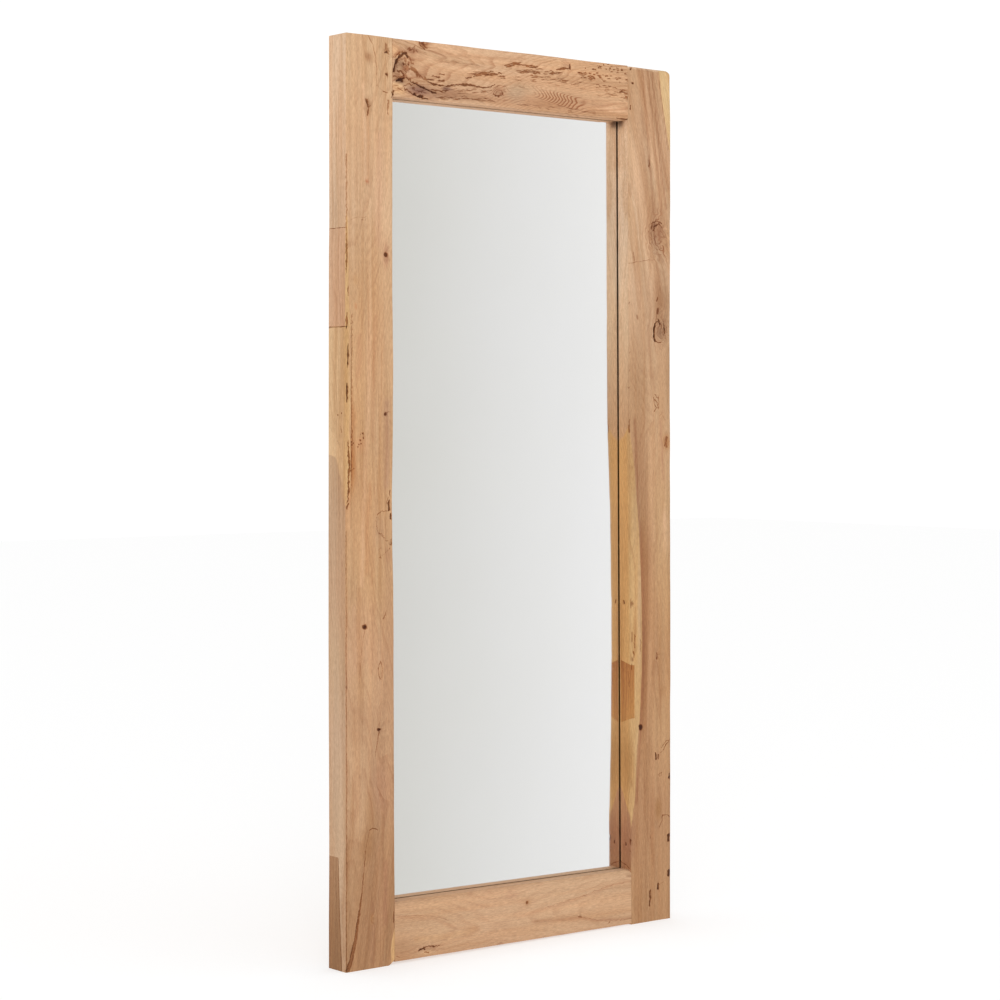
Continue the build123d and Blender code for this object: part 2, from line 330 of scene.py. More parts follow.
@dataclass(frozen=True)
class Sapwood:
    """Pale band along one long edge of a board.

    widths are (place along the board, how far the band reaches from the edge) and depths are
    (place along the board, how far back it goes), in mm.
    """

    widths: tuple[Point, ...]
    depths: tuple[Point, ...]
    from_high_edge: bool = False


def dashes(
    band: Sequence[Point], count: int, spread: float, length: Point, width: Point, seed: int,
    tilt: float = 0.08, strength: float = 0.75, depth: float = 1.2,
) -> tuple[Crack, ...]:
    """Scatters short open pores and fissures along a band.

    Args:
        band: The band's middle line, as corners.
        count: How many.
        spread: How far they lie from the middle line, in mm.
        length: Shortest and longest, in mm.
        width: Narrowest and widest, in mm.
        seed: Picks the places.
        tilt: Rise over run of a typical dash.
        strength: How dark they are.
        depth: How deep they are, in mm.

    Returns:
        The fissures.
    """
    rng = np.random.default_rng(seed)
    corners = np.asarray(band, float)
    found = []
    for _ in range(count):
        leg = rng.integers(0, len(corners) - 1)
        start = corners[leg] + (corners[leg + 1] - corners[leg]) * rng.uniform()
        start = start + (0, rng.normal() * spread)
        run = rng.uniform(*length)
        rise = run * (tilt + rng.normal() * 0.05)
        middle = start + (run * 0.5, rise * 0.5 + rng.normal() * 0.8)
        path = tuple(tuple(map(float, p)) for p in (start, middle, start + (run, rise)))
        wide = rng.uniform(*width)
        shade = strength * rng.uniform(0.55, 1.0)
        found.append(Crack(path, (wide * 1.3, wide), depth, shade, fray=0.45, taper=True))
    return tuple(found)


def scatter(*bands: tuple) -> tuple[Crack, ...]:
    """Fissures of several bands, each given as the arguments of dashes()."""
    return tuple(crack for band in bands for crack in dashes(*band))


def pairs(numbers: Sequence[float]) -> tuple[Point, ...]:
    """Every two numbers as one point."""
    return tuple(zip(numbers[::2], numbers[1::2]))


def grooves(*rows: tuple[float, ...], **shared) -> tuple[Crack, ...]:
    """Cracks from rows of numbers; a few rows are painted shadow lines cut in as shallow grooves.

    Args:
        rows: Width at the start and at the end, depth, strength and fray, then the path's corners.
        shared: Face, soak or taper of all of them.

    Returns:
        The cracks.
    """
    return tuple(
        Crack(pairs(row[5:]), row[:2], row[2], row[3], fray=row[4], **shared) for row in rows
    )


def stains(*rows: tuple[float, ...], **shared) -> tuple[Stain, ...]:
    """Stains from rows of numbers.

    Args:
        rows: Centre, radii, red, green, blue and strength.
        shared: Face or sap of all of them.

    Returns:
        The stains.
    """
    return tuple(Stain(row[:2], row[2:4], row[4:7], row[7], **shared) for row in rows)


def veins(*rows: tuple[float, ...]) -> tuple[Vein, ...]:
    """Veins from rows of numbers.

    Args:
        rows: Width, red, green, blue and strength, then the path's corners.

    Returns:
        The veins.
    """
    return tuple(Vein(pairs(row[5:]), row[0], row[1:4], row[4]) for row in rows)


# ---- shader wiring -------------------------------------------------------------------------------
class Wiring:
    """Adds and joins nodes in one node tree."""

    def __init__(self, tree: bpy.types.NodeTree) -> None:
        """Keeps the tree."""
        self.tree = tree

    def node(self, kind: str, inputs: dict | None = None, **props) -> bpy.types.Node:
        """Adds a node.

        Args:
            kind: Node type, without its ShaderNode prefix.
            inputs: Socket name or number to a value or to another node's output.
            props: Settings of the node itself.

        Returns:
            The new node.
        """
        made = self.tree.nodes.new("ShaderNode" + kind)
        for name, value in props.items():
            setattr(made, name, value)
        return self.feed(made, inputs or {})

    def feed(self, node: bpy.types.Node, inputs: dict) -> bpy.types.Node:
        """Sets a node's inputs to values or joins them to other nodes' outputs."""
        for key, value in inputs.items():
            if isinstance(value, bpy.types.NodeSocket):
                self.tree.links.new(value, node.inputs[key])
            else:
                node.inputs[key].default_value = value
        return node

    def sum(self, operation: str, *values, clamp: bool = False) -> bpy.types.NodeSocket:
        """Result of a Math node on up to three values or sockets."""
        inputs = dict(enumerate(values))
        return self.node("Math", inputs, operation=operation, use_clamp=clamp).outputs[0]

    def mix(self, share, low, high, blend: str = "MIX") -> bpy.types.NodeSocket:
        """Blends two colours by a share."""
        inputs = {0: share, 6: low, 7: high}
        made = self.node("Mix", inputs, data_type="RGBA", blend_type=blend, clamp_factor=True)
        return made.outputs[2]

    def span(self, value, low: float, high: float, to_low: float = 0.0, to_high: float = 1.0):
        """Eases a value from one range to another, and holds it at the ends."""
        inputs = {"Value": value, 1: low, 2: high, 3: to_low, 4: to_high}
        return self.node("MapRange", inputs, interpolation_type="SMOOTHSTEP").outputs[0]

    def stretch(self, vector, scale: Sequence[float]) -> bpy.types.NodeSocket:
        """Scales a vector along each axis."""
        return self.node("VectorMath", {0: vector, 1: scale}, operation="MULTIPLY").outputs[0]

    def noise(self, vector, scale: Sequence[float], detail: float = 2.0, rough: float = 0.5):
        """Noise value on a stretched vector."""
        inputs = {
            "Vector": self.stretch(vector, scale), "Scale": 1.0, "Detail": detail,
            "Roughness": rough,
        }
        return self.node("TexNoise", inputs).outputs[0]

    def attribute(self, name: str) -> bpy.types.Node:
        """Reads a named attribute of the mesh."""
        return self.node("Attribute", attribute_name=name)

    def group(self, group: bpy.types.NodeTree, inputs: dict) -> bpy.types.Node:
        """Places a node group."""
        made = self.tree.nodes.new("ShaderNodeGroup")
        made.node_tree = group
        return self.feed(made, inputs)


def start_group(
    name: str, inputs: Sequence[tuple[str, str]], outputs: Sequence[tuple[str, str]]
) -> tuple[bpy.types.NodeTree, Wiring, bpy.types.Node, bpy.types.Node]:
    """Makes an empty shader node group.

    Args:
        name: The group's name.
        inputs: (socket name, Float, Vector or Color) pairs.
        outputs: The same for what it puts out.

    Returns:
        The tree, its wiring, and its input and output nodes.
    """
    tree = bpy.data.node_groups.new(name, "ShaderNodeTree")
    for direction, sockets in (("INPUT", inputs), ("OUTPUT", outputs)):
        for socket, kind in sockets:
            tree.interface.new_socket(
                name=socket, in_out=direction, socket_type="NodeSocket" + kind
            )
    entry = tree.nodes.new("NodeGroupInput")
    leave = tree.nodes.new("NodeGroupOutput")
    return tree, Wiring(tree), entry, leave


class Effects:
    """Node groups that several finishes share."""

    def __init__(self) -> None:
        """Builds every group once."""
        self.figure = self._figure()
        self.marks = self._marks()
        self.speckle = self._speckle()

    @staticmethod
    def _figure() -> bpy.types.NodeTree:
        """Growth rings, streaks, fibres and pores that follow the grain."""
        tree, w, entry, leave = start_group(
            "Wood figure",
            [("Grain", "Vector"), ("Ring", "Float"), ("Tint", "Color"), ("Figure", "Float"),
             ("Streak", "Float"), ("Pore", "Float")],
            [("Color", "Color"), ("Height", "Float")],
        )
        grain, ring, tint, figure, streak, pore = entry.outputs[:6]
        wander = w.noise(grain, (55, 55, 5), 2.0)
        calm = w.span(figure, 0.6, 1.4, 1.6, 0.35)
        count = w.sum("ADD", ring, w.sum("MULTIPLY", wander, calm))
        place = w.sum("FRACT", count)
        late = w.sum("MULTIPLY", w.span(place, 0.35, 0.9), w.span(place, 1.0, 0.93))
        each = w.node("TexWhiteNoise", {"W": w.sum("FLOOR", count)}, noise_dimensions="1D")
        fade = w.span(w.noise(grain, (25, 25, 9), 1.0), 0.3, 0.62, 0.25, 1.0)
        bold = w.sum("MULTIPLY", w.sum("MULTIPLY_ADD", each.outputs[0], 0.75, 0.25), fade)
        bold = w.sum("MAXIMUM", bold, w.span(figure, 0.8, 1.5, 0.0, 0.75))
        line = w.sum("MULTIPLY", w.sum("MULTIPLY", late, bold), figure, clamp=True)
        colour = w.mix(line, tint, w.mix(1.0, tint, (0.60, 0.40, 0.29, 1.0), "MULTIPLY"))
        broad = w.span(w.noise(grain, (34, 34, 1.3), 2.0, 0.5), 0.32, 0.68, -1.0, 1.0)
        narrow = w.span(w.noise(grain, (85, 85, 2.4), 3.0, 0.6), 0.3, 0.7, -1.0, 1.0)
        fine = w.span(w.noise(grain, (260, 260, 7), 3.0, 0.6), 0.3, 0.7, -1.0, 1.0)
        lift = w.sum("MULTIPLY_ADD", fine, 0.55, w.sum("MULTIPLY_ADD", narrow, 0.8, broad))
        lift = w.sum("MULTIPLY", lift, streak)
        warmth = w.span(w.noise(grain, (47, 47, 1.9), 2.0, 0.5), 0.35, 0.65)
        hue = w.mix(warmth, (1.025, 0.985, 0.955, 1.0), (0.99, 1.0, 1.015, 1.0))
        colour = w.mix(1.0, colour, hue, "MULTIPLY")
        light = w.mix(1.0, colour, (1.11, 1.13, 1.14, 1.0), "MULTIPLY")
        dark = w.mix(1.0, colour, (0.85, 0.78, 0.70, 1.0), "MULTIPLY")
        colour = w.mix(w.sum("MAXIMUM", lift, 0.0), colour, light)
        colour = w.mix(w.sum("MAXIMUM", w.sum("MULTIPLY", lift, -1.0), 0.0), colour, dark)
        fleck = w.span(w.noise(grain, (620, 620, 90), 2.0, 0.75), 0.3, 0.7, 0.86, 1.11)
        shade = w.node("CombineColor", {0: fleck, 1: w.sum("POWER", fleck, 1.15),
                                        2: w.sum("POWER", fleck, 1.3)})
        colour = w.mix(1.0, colour, shade.outputs[0], "MULTIPLY")
        fibre = w.noise(grain, (1500, 1500, 45), 2.0, 0.6)
        dots = w.span(w.noise(grain, (900, 900, 55), 2.0, 0.55), 0.60, 0.72)
        open_pore = w.sum("MULTIPLY", dots, pore, clamp=True)
        colour = w.mix(w.sum("MULTIPLY", open_pore, 0.6), colour,
                       w.mix(1.0, colour, (0.55, 0.42, 0.33, 1.0), "MULTIPLY"))
        grit = w.span(fibre, 0.3, 0.7, 0.95, 1.05)
        colour = w.mix(1.0, colour, w.node("CombineColor", {0: grit, 1: grit, 2: grit}).outputs[0],
                       "MULTIPLY")
        height = w.sum("SUBTRACT", w.sum("MULTIPLY", fibre, 0.35), line)
        height = w.sum("SUBTRACT", height, open_pore)
        w.feed(leave, {"Color": colour, "Height": height})
        return tree

    @staticmethod
    def _marks() -> bpy.types.NodeTree:
        """Sapwood, knots and cracks laid over the figure."""
        tree, w, entry, leave = start_group(
            "Marks of age",
            [("Color", "Color"), ("Sap Tint", "Color"), ("Sapwood", "Float"), ("Crack", "Float"),
             ("Knot", "Float"), ("Grain", "Vector")],
            [("Color", "Color"), ("Roughness", "Float"), ("Height", "Float")],
        )
        colour, sap_tint, sapwood, crack, knot, grain = entry.outputs[:6]
        ragged = w.noise(grain, (70, 70, 12), 3.0, 0.6)
        edge = w.sum("MULTIPLY_ADD", w.sum("SUBTRACT", ragged, 0.5), 5.0, sapwood)
        colour = w.mix(w.span(edge, -0.9, 0.9), colour, sap_tint)
        uneven = w.span(w.noise(grain, (160, 160, 90), 3.0, 0.6), 0.25, 0.75, 0.55, 1.1)
        brown = w.mix(1.0, colour, (0.36, 0.20, 0.13, 1.0), "MULTIPLY")
        colour = w.mix(w.sum("MULTIPLY", knot, uneven, clamp=True), colour, brown)
        deep = w.mix(1.0, colour, (0.20, 0.12, 0.08, 1.0), "MULTIPLY")
        rusty = w.mix(1.0, colour, (0.56, 0.38, 0.25, 1.0), "MULTIPLY")
        torn = w.span(w.noise(grain, (420, 420, 300), 2.0, 0.6), 0.25, 0.6, 0.65, 1.1)
        dark = w.sum("MULTIPLY", crack, torn, clamp=True)
        colour = w.mix(w.span(dark, 0.0, 0.5), colour, rusty)
        colour = w.mix(w.span(dark, 0.45, 0.95), colour, deep)
        rough = w.span(crack, 0.0, 1.0, 0.58, 0.9)
        cut = w.sum("MULTIPLY", crack, -1.0)
        w.feed(leave, {"Color": colour, "Roughness": rough, "Height": cut})
        return tree

    @staticmethod
    def _speckle() -> bpy.types.NodeTree:
        """Fine uneven spots and rubbed streaks for metal, rubber, foam and glass."""
        tree, w, entry, leave = start_group(
            "Speckle",
            [("Low", "Color"), ("High", "Color"), ("Scale", "Float"), ("Streak", "Float")],
            [("Color", "Color"), ("Mask", "Float"), ("Height", "Float")],
        )
        place = w.node("TexCoord").outputs["Object"]
        size = entry.outputs["Scale"]
        spots = w.node("TexNoise", {"Vector": place, "Scale": size, "Detail": 4.0}).outputs[0]
        drawn = w.node("TexNoise", {
            "Vector": w.stretch(place, (6.0, 6.0, 0.4)), "Scale": size, "Detail": 3.0,
        }).outputs[0]
        mask = w.node("Mix", {0: entry.outputs["Streak"], 2: spots, 3: drawn}).outputs[0]
        mask = w.span(mask, 0.3, 0.7)
        colour = w.mix(mask, entry.outputs["Low"], entry.outputs["High"])
        w.feed(leave, {"Color": colour, "Mask": mask, "Height": w.sum("SUBTRACT", mask, 0.5)})
        return tree


# ---- finishes ------------------------------------------------------------------------------------
def start_material(name: str) -> tuple[bpy.types.Material, Wiring, bpy.types.Node]:
    """Makes an empty material with a Principled shader joined to its output.

    Args:
        name: The material's name.

    Returns:
        The material, its wiring and its Principled node.
    """
    made = bpy.data.materials.new(name)
    made.use_nodes = True
    made.node_tree.nodes.clear()
    w = Wiring(made.node_tree)
    shader = w.node("BsdfPrincipled")
    w.node("OutputMaterial", {"Surface": shader.outputs[0]})
    return made, w, shader


@dataclass(frozen=True)
class WoodFinish:
    """Planed and lightly oiled timber, coloured by the board's own painted attributes."""

    name: str
    figure: float = 0.5
    streak: float = 0.5
    pore: float = 0.6
    sap_blend: float = 0.9
    bump: float = 0.35

    def make(self, effects: Effects) -> bpy.types.Material:
        """Builds the material.

        Args:
            effects: The shared node groups.

        Returns:
            The finished material.
        """
        made, w, shader = start_material(self.name)
        grain = w.attribute("grain").outputs["Vector"]
        ring = w.attribute("ring").outputs["Fac"]
        # The heartwood colour attribute includes painted shade from the board's stops and stains.
        tint = w.attribute("tint").outputs["Color"]
        marks = w.node("SeparateXYZ", {0: w.attribute("marks").outputs["Vector"]})
        sapwood = w.sum("DIVIDE", w.attribute("sapwood").outputs["Fac"], self.sap_blend)
        crack, knot, boost = marks.outputs
        strength = w.sum("MULTIPLY", w.sum("MULTIPLY_ADD", boost, 1.6, 1.0), self.figure)
        lined = {"Grain": grain, "Ring": ring, "Figure": strength, "Streak": self.streak,
                 "Pore": self.pore}
        wood = w.group(effects.figure, {**lined, "Tint": tint})
        pale = w.group(effects.figure, {**lined, "Tint": w.attribute("pale").outputs["Color"]})
        aged = w.group(effects.marks, {
            "Color": wood.outputs["Color"], "Sap Tint": pale.outputs["Color"],
            "Sapwood": sapwood, "Crack": crack, "Knot": knot, "Grain": grain,
        })
        height = w.sum("MULTIPLY_ADD", aged.outputs["Height"], 1.5, wood.outputs["Height"])
        bump = w.node("Bump", {"Strength": self.bump, "Distance": 0.0004, "Height": height})
        w.feed(shader, {
            "Base Color": aged.outputs["Color"], "Roughness": aged.outputs["Roughness"],
            "Normal": bump.outputs[0], "Specular IOR Level": 0.3,
        })
        return made


@dataclass(frozen=True)
class PlainFinish:
    """Metal, rubber, foam or glass with fine uneven spots."""

    name: str
    low: Colour
    high: Colour
    scale: float
    roughness: Point
    streak: float = 0.0
    metallic: float = 0.0
    transmission: float = 0.0
    bump: float = 0.0

    def make(self, effects: Effects) -> bpy.types.Material:
        """Builds the material.

        Args:
            effects: The shared node groups.

        Returns:
            The finished material.
        """
        made, w, shader = start_material(self.name)
        spots = w.group(effects.speckle, {
            "Low": (*linear(self.low), 1.0), "High": (*linear(self.high), 1.0),
            "Scale": self.scale, "Streak": self.streak,
        })
        rough = self.roughness[0]
        if rough != self.roughness[1]:
            rough = w.span(spots.outputs["Mask"], 0.0, 1.0, *self.roughness)
        w.feed(shader, {
            "Base Color": spots.outputs["Color"], "Roughness": rough, "Metallic": self.metallic,
            "Transmission Weight": self.transmission,
        })
        if self.bump:
            height = spots.outputs["Height"]
            bump = w.node("Bump", {"Strength": self.bump, "Distance": 0.0003, "Height": height})
            w.feed(shader, {"Normal": bump.outputs[0]})
        return made


@dataclass(frozen=True)
class CutSheetFinish:
    """Bare plywood or turned beech: straight grain read from the object's own coordinates."""

    name: str
    tint: Colour
    figure: float = 0.5
    along_x: bool = False
    ring_pitch: float = 0.022

    def make(self, effects: Effects) -> bpy.types.Material:
        """Builds the material.

        Args:
            effects: The shared node groups.

        Returns:
            The finished material.
        """
        made, w, shader = start_material(self.name)
        turn = (0.0, math.pi / 2, 0.0) if self.along_x else (0.0, 0.0, 0.0)
        place = w.node("TexCoord").outputs["Object"]
        grain = w.node("Mapping", {"Vector": place, "Rotation": turn}).outputs[0]
        lateral = w.node("SeparateXYZ", {0: grain}).outputs[0]
        drift = w.noise(grain, (3, 3, 0.9), 2.0)
        ring = w.sum("MULTIPLY_ADD", drift, 7.0, w.sum("DIVIDE", lateral, self.ring_pitch))
        wood = w.group(effects.figure, {
            "Grain": grain, "Ring": ring, "Tint": (*linear(self.tint), 1.0),
            "Figure": self.figure, "Streak": 0.6, "Pore": 0.5,
        })
        bump = w.node("Bump", {"Strength": 0.3, "Distance": 0.0003, "Height": wood.outputs[1]})
        w.feed(shader, {
            "Base Color": wood.outputs["Color"], "Normal": bump.outputs[0], "Roughness": 0.65,
        })
        return made


# ---- boards --------------------------------------------------------------------------------------
@dataclass
class Board:
    """One piece of timber, worked from its CAD solid.

    low_edge and high_edge are the board's two long edges as (place along, place across); along is Z
    for an upright board and X for a rail.
    """

    node: str
    slot: str
    finish: WoodFinish
    low_edge: tuple[Point, ...]
    high_edge: tuple[Point, ...]
    # Colour stops along the board; on the stiles and their patches they hold the wood's tone plus
    # painted shade, darker towards the bottom.
    tone_and_shade_stops: tuple[tuple[float, Colour], ...]
    upright: bool = True
    pith: tuple[tuple[float, float, float], ...] = ((0, -60, 150), (1700, -60, 150))
    ring_width: float = 6.0
    drift: float = 0.8
    seed: int = 1
    outer_is_high: bool = False
    # Colour stops of the side faces: the wood's tone plus painted shade, darker towards the bottom.
    side_tone_and_shade_stops: tuple[tuple[float, Colour], ...] = ()
    crack_shade: float = 1.0
    lean: tuple[Point, ...] = ((0, 0), (1700, 0))
    sap_tint: Colour = (208, 168, 118)
    sap_side_tint: Colour = (208, 170, 127)
    boost: float = 0.0
    cracks: tuple[Crack, ...] = ()
    knots: tuple[Knot, ...] = ()
    stains: tuple[Stain, ...] = ()
    veins: tuple[Vein, ...] = ()
    sapwood: tuple[Sapwood, ...] = ()
    feathers: tuple[Feather, ...] = ()
    pitch: Point = (4.0, 5.0)
    fineness: tuple[Point, ...] = ((3.5, 2.2), (1.6, 1.2), (0.7, 0.75))
    corner: Vector = field(default_factory=Vector)

    # -- shape --
    def mesh(self, frame: dict) -> bmesh.types.BMesh:
        """Copies the CAD solid, eases its front arrises and cuts its faces into a fine grid.


        Returns:
            The board, ready to be worn.
        """
        bm = bmesh.new()
        bm.from_mesh(frame["nodes"][self.node].data)
        bmesh.ops.remove_doubles(bm, verts=bm.verts[:], dist=MERGE_DISTANCE)
        bmesh.ops.dissolve_limit(
            bm, angle_limit=FLAT_ANGLE, verts=bm.verts[:], edges=bm.edges[:]
        )
        self._ease_arrises(bm)
        along = 2 if self.upright else 0
        for axis, step in ((along, self.pitch[1]), (2 - along, self.pitch[0]), (1, DEPTH_STEP)):
            self._slice(bm, axis, step * MM)
        for band, shortest in self.fineness:
            self._refine(bm, band, shortest)
        bm.normal_update()
        return bm

    def _ease_arrises(self, bm: bmesh.types.BMesh) -> None:
        """Takes the sharpness off the front edges, less where two boards meet."""
        front = self.corner.y + 1e-5
        along = Vector((0, 0, 1)) if self.upright else Vector((1, 0, 0))
        for offset, lengthwise in ((LONG_ARRIS, True), (END_ARRIS, False)):
            edges = [
                e for e in bm.edges
                if len(e.link_faces) == 2 and e.calc_length() > SHORTEST_ARRIS
                and all(v.co.y < front for v in e.verts) and e.calc_face_angle() > LEAST_FOLD
                and (abs((e.verts[0].co - e.verts[1].co).normalized() @ along) > 0.9) == lengthwise
            ]
            bmesh.ops.bevel(
                bm, geom=edges, offset=offset * MM, offset_type="OFFSET", segments=2, profile=0.5,
                affect="EDGES", material=-1, clamp_overlap=True,
            )

    def _slice(self, bm: bmesh.types.BMesh, axis: int, step: float) -> None:
        """Cuts the board at even steps along one axis."""
        values = [v.co[axis] for v in bm.verts]
        normal = Vector([float(n == axis) for n in range(3)])
        for n in range(int((max(values) - min(values)) / step)):
            place = min(values) + (n + 0.53) * step
            bmesh.ops.bisect_plane(
                bm, geom=bm.verts[:] + bm.edges[:] + bm.faces[:], dist=MERGE_DISTANCE,
                plane_co=normal * place, plane_no=normal,
            )

    def _refine(self, bm: bmesh.types.BMesh, band: float, shortest: float) -> None:
        """Halves the edges beside cracks and knots.

        Args:
            bm: The board.
            band: How far beyond a mark the mesh is made finer, in mm.
            shortest: Edges under this length are left alone, in mm.
        """
        bm.edges.ensure_lookup_table()
        ends = np.array([[v.co[:] for v in e.verts] for e in bm.edges])
        middle = self.places(ends.mean(axis=1))
        length = np.linalg.norm(ends[:, 0] - ends[:, 1], axis=1) / MM
        chosen = np.zeros(len(middle), bool)
        for mark in (*self.cracks, *self.knots):
            plane, off = self.on_face(middle, mark.face)
            if isinstance(mark, Crack):
                near = self._near(plane, mark.path, mark.reach() + band) & (off < SKIN)
                rows = np.flatnonzero(near)
                distance, _ = from_path(plane[rows], mark.path)
                chosen[rows[distance < 0.5 * mark.reach() + band]] = True
            elif mark.dip or band > 1:
                chosen |= (mark.bulge(plane) > 0.25) & (off < SKIN)
        picked = [bm.edges[n] for n in np.flatnonzero(chosen & (length > shortest))]
        bmesh.ops.subdivide_edges(bm, edges=picked, cuts=1, use_grid_fill=True)

    @staticmethod
    def _near(plane: np.ndarray, path: Sequence[Point], margin: float) -> np.ndarray:
        """Which places lie in a path's box, grown by a margin."""
        corners = np.asarray(path, float)
        low, high = corners.min(0) - margin, corners.max(0) + margin
        return np.all((plane > low) & (plane < high), axis=1)

    # -- places --
    def places(self, points: np.ndarray) -> np.ndarray:
        """Frame points in metres as X, D, Z in mm."""
        return (points - np.asarray(self.corner)) / MM

    def edges_at(self, places: np.ndarray) -> tuple[np.ndarray, np.ndarray, np.ndarray]:
        """Place across the board, and where its two long edges are there."""
        along = places[:, 2 if self.upright else 0]
        across = places[:, 0 if self.upright else 2]
        low = np.interp(along, *np.transpose(self.low_edge))
        high = np.interp(along, *np.transpose(self.high_edge))
        return across, low, high

    def on_face(self, places: np.ndarray, face: Face) -> tuple[np.ndarray, np.ndarray]:
        """Places as they lie on one face.

        Args:
            places: N x 3 places in mm.
            face: The face.

        Returns:
            N x 2 places on the face, and how far each is from the face.
        """
        if face is Face.FRONT:
            return places[:, (0, 2)], np.abs(places[:, 1])
        across, low, high = self.edges_at(places)
        edge = high if (face is Face.OUTER) == self.outer_is_high else low
        return places[:, (1, 2)], np.abs(across - edge)

    # -- wear --
    def work(self, bm: bmesh.types.BMesh, name: str) -> bpy.types.Object:
        """Wears the board, paints its attributes and makes it an object.

        Args:
            bm: The cut-up board.
            name: Name of the new object.

        Returns:
            The object.
        """
        points = np.array([v.co[:] for v in bm.verts])
        normals = np.array([v.normal[:] for v in bm.verts])
        places = self.places(points)
        marks, sink, rings = self._marks(places)
        moved = points + self._settle(places) * MM - normals * sink[:, None] * MM
        for vertex, place in zip(bm.verts, moved):
            vertex.co = place
        made = new_object(name, bm)
        mesh = made.data
        self._paint(mesh, places, marks, rings)
        mesh.polygons.foreach_set("use_smooth", [True] * len(mesh.polygons))
        mesh.set_sharp_from_angle(angle=SHARP_ANGLE)
        return made

    def _settle(self, places: np.ndarray) -> np.ndarray:
        """Slow waves of hand-planed outer edges and faces, always into the wood, in mm."""
        x, d, z = places.T
        offset = np.zeros_like(places)
        left = np.interp(z, *np.transpose(LEFT_WAVE)) + 0.05
        right = np.interp(z, *np.transpose(RIGHT_WAVE)) + 0.05
        top = np.interp(x, *np.transpose(TOP_WAVE)) + 0.05
        offset[:, 0] += left * ease(x, EDGE_FADE, 0)
        offset[:, 0] -= right * ease(x, FRAME_WIDTH - EDGE_FADE, FRAME_WIDTH)
        offset[:, 2] -= top * ease(z, FRAME_HEIGHT - EDGE_FADE, FRAME_HEIGHT)
        face = 0.45 + 0.4 * swell(places * (1, 0, 1), (60, 1, 160), 14)
        offset[:, 1] += np.maximum(face, 0.0) * ease(d, 25, 0)
        edge_wave = np.interp(z, *np.transpose(LEFT_INNER_WAVE)) * ease(d, 30, 15)
        offset[:, 0] += edge_wave * ease(np.abs(x - 107), 30, 0)
        foot = np.maximum((x - 99) * 0.8 - z, 0) * (x > 99) * (x < 116) * (z < 12)
        offset[:, 2] += foot * (self.node == "left_stile")
        wane = WANE_REACH * np.interp(z, *np.transpose(WANE_SHARE))
        edge = np.interp(z, *np.transpose(RIGHT_INNER))
        edge = edge + wane * np.clip((REVEAL_DEPTH - d) / REVEAL_DEPTH, 0, 1)
        beside = (x > 680) & (x < 730) & (d < REVEAL_DEPTH)
        offset[:, 0] += np.where(beside, np.maximum(edge - x, 0), 0)
        return offset

    def _marks(self, places: np.ndarray) -> tuple[np.ndarray, np.ndarray, np.ndarray]:
        """Works out cracks, knots and figure at each place.

        Args:
            places: N x 3 places in mm.

        Returns:
            Crack, knot and figure shares; how deep the surface sinks; and the knots' extra rings.
        """
        marks = np.zeros((len(places), 3))
        marks[:, 2] = self.boost
        sink = np.zeros(len(places))
        rings = np.zeros(len(places))
        for crack in self.cracks:
            plane, off = self.on_face(places, crack.face)
            near = self._near(plane, crack.path, crack.reach() + 3) & (off < 2.3 * crack.soak)
            rows = np.flatnonzero(near)
            cut = crack.cut(places[rows], plane[rows]) * np.exp(-((off[rows] / crack.soak) ** 2))
            shade = crack.strength * self.crack_shade * cut
            marks[rows, 0] = np.maximum(marks[rows, 0], shade)
            sink[rows] = np.maximum(sink[rows], crack.depth * cut)
        for knot in self.knots:
            plane, off = self.on_face(places, knot.face)
            wobble = np.stack([swell(places, (18, 18, 18), self.seed + n) for n in (5, 6)], axis=1)
            bulge = knot.bulge(plane + 0.14 * wobble * np.asarray(knot.radii))
            bulge = bulge * np.exp(-((off / KNOT_FADE) ** 2))
            rings += knot.rings * bulge
            marks[:, 1] = np.maximum(marks[:, 1], knot.strength * ease(bulge, 0.45, 0.95))
            flow = min(2.0, knot.rings / 2.5) * ease(bulge, 0.05, 0.5)
            marks[:, 2] = np.maximum(marks[:, 2], flow)
            sink = np.maximum(sink, knot.dip * ease(bulge, 0.3, 0.9))
        return marks, sink, rings

    def _paint(
        self, mesh: bpy.types.Mesh, places: np.ndarray, marks: np.ndarray, rings: np.ndarray
    ) -> None:
        """Writes the attributes that the wood finish reads.

        Args:
            mesh: The finished mesh.
            places: Where each vertex was before wear, in mm.
            marks: Crack, knot and figure shares.
            rings: The knots' extra rings.
        """
        across, low, high = self.edges_at(places)
        along = places[:, 2 if self.upright else 0]
        depth = places[:, 1]
        pith_along, pith_across, pith_depth = np.transpose(self.pith)
        aside = across - np.interp(along, pith_along, pith_across)
        behind = depth - np.interp(along, pith_along, pith_depth)
        reach = (70, 70, 420) if self.upright else (420, 70, 70)
        ring = np.hypot(aside, behind) / self.ring_width + rings
        ring += self.drift * swell(places, reach, self.seed)
        for feather in self.feathers:
            offset = places[:, (0, 2)] - np.asarray(feather.centre)
            offset[:, 1] += 0.08 * offset[:, 0]
            window = np.exp(-np.sum((offset / np.asarray(feather.radii)) ** 4, axis=1))
            chevron = (offset[:, 0] + feather.slope * np.abs(offset[:, 1])) / feather.pitch
            chevron = chevron + np.median(ring[window > 0.5])
            ring = ring * (1 - window) + chevron * window
            bold = 1.6 + 0.9 * np.clip(offset[:, 0] / feather.radii[0], -1, 1)
            marks[:, 2] = np.maximum(marks[:, 2], bold * window)
        bend = across + rings * self.ring_width + np.interp(along, *np.transpose(self.lean))
        grain = np.stack([bend, depth, along], axis=1) * MM
        tint, light = self._tints_and_painted_shade(places, along, depth)
        inside = self._sapwood(along, depth, across, low, high)
        count = len(mesh.vertices)
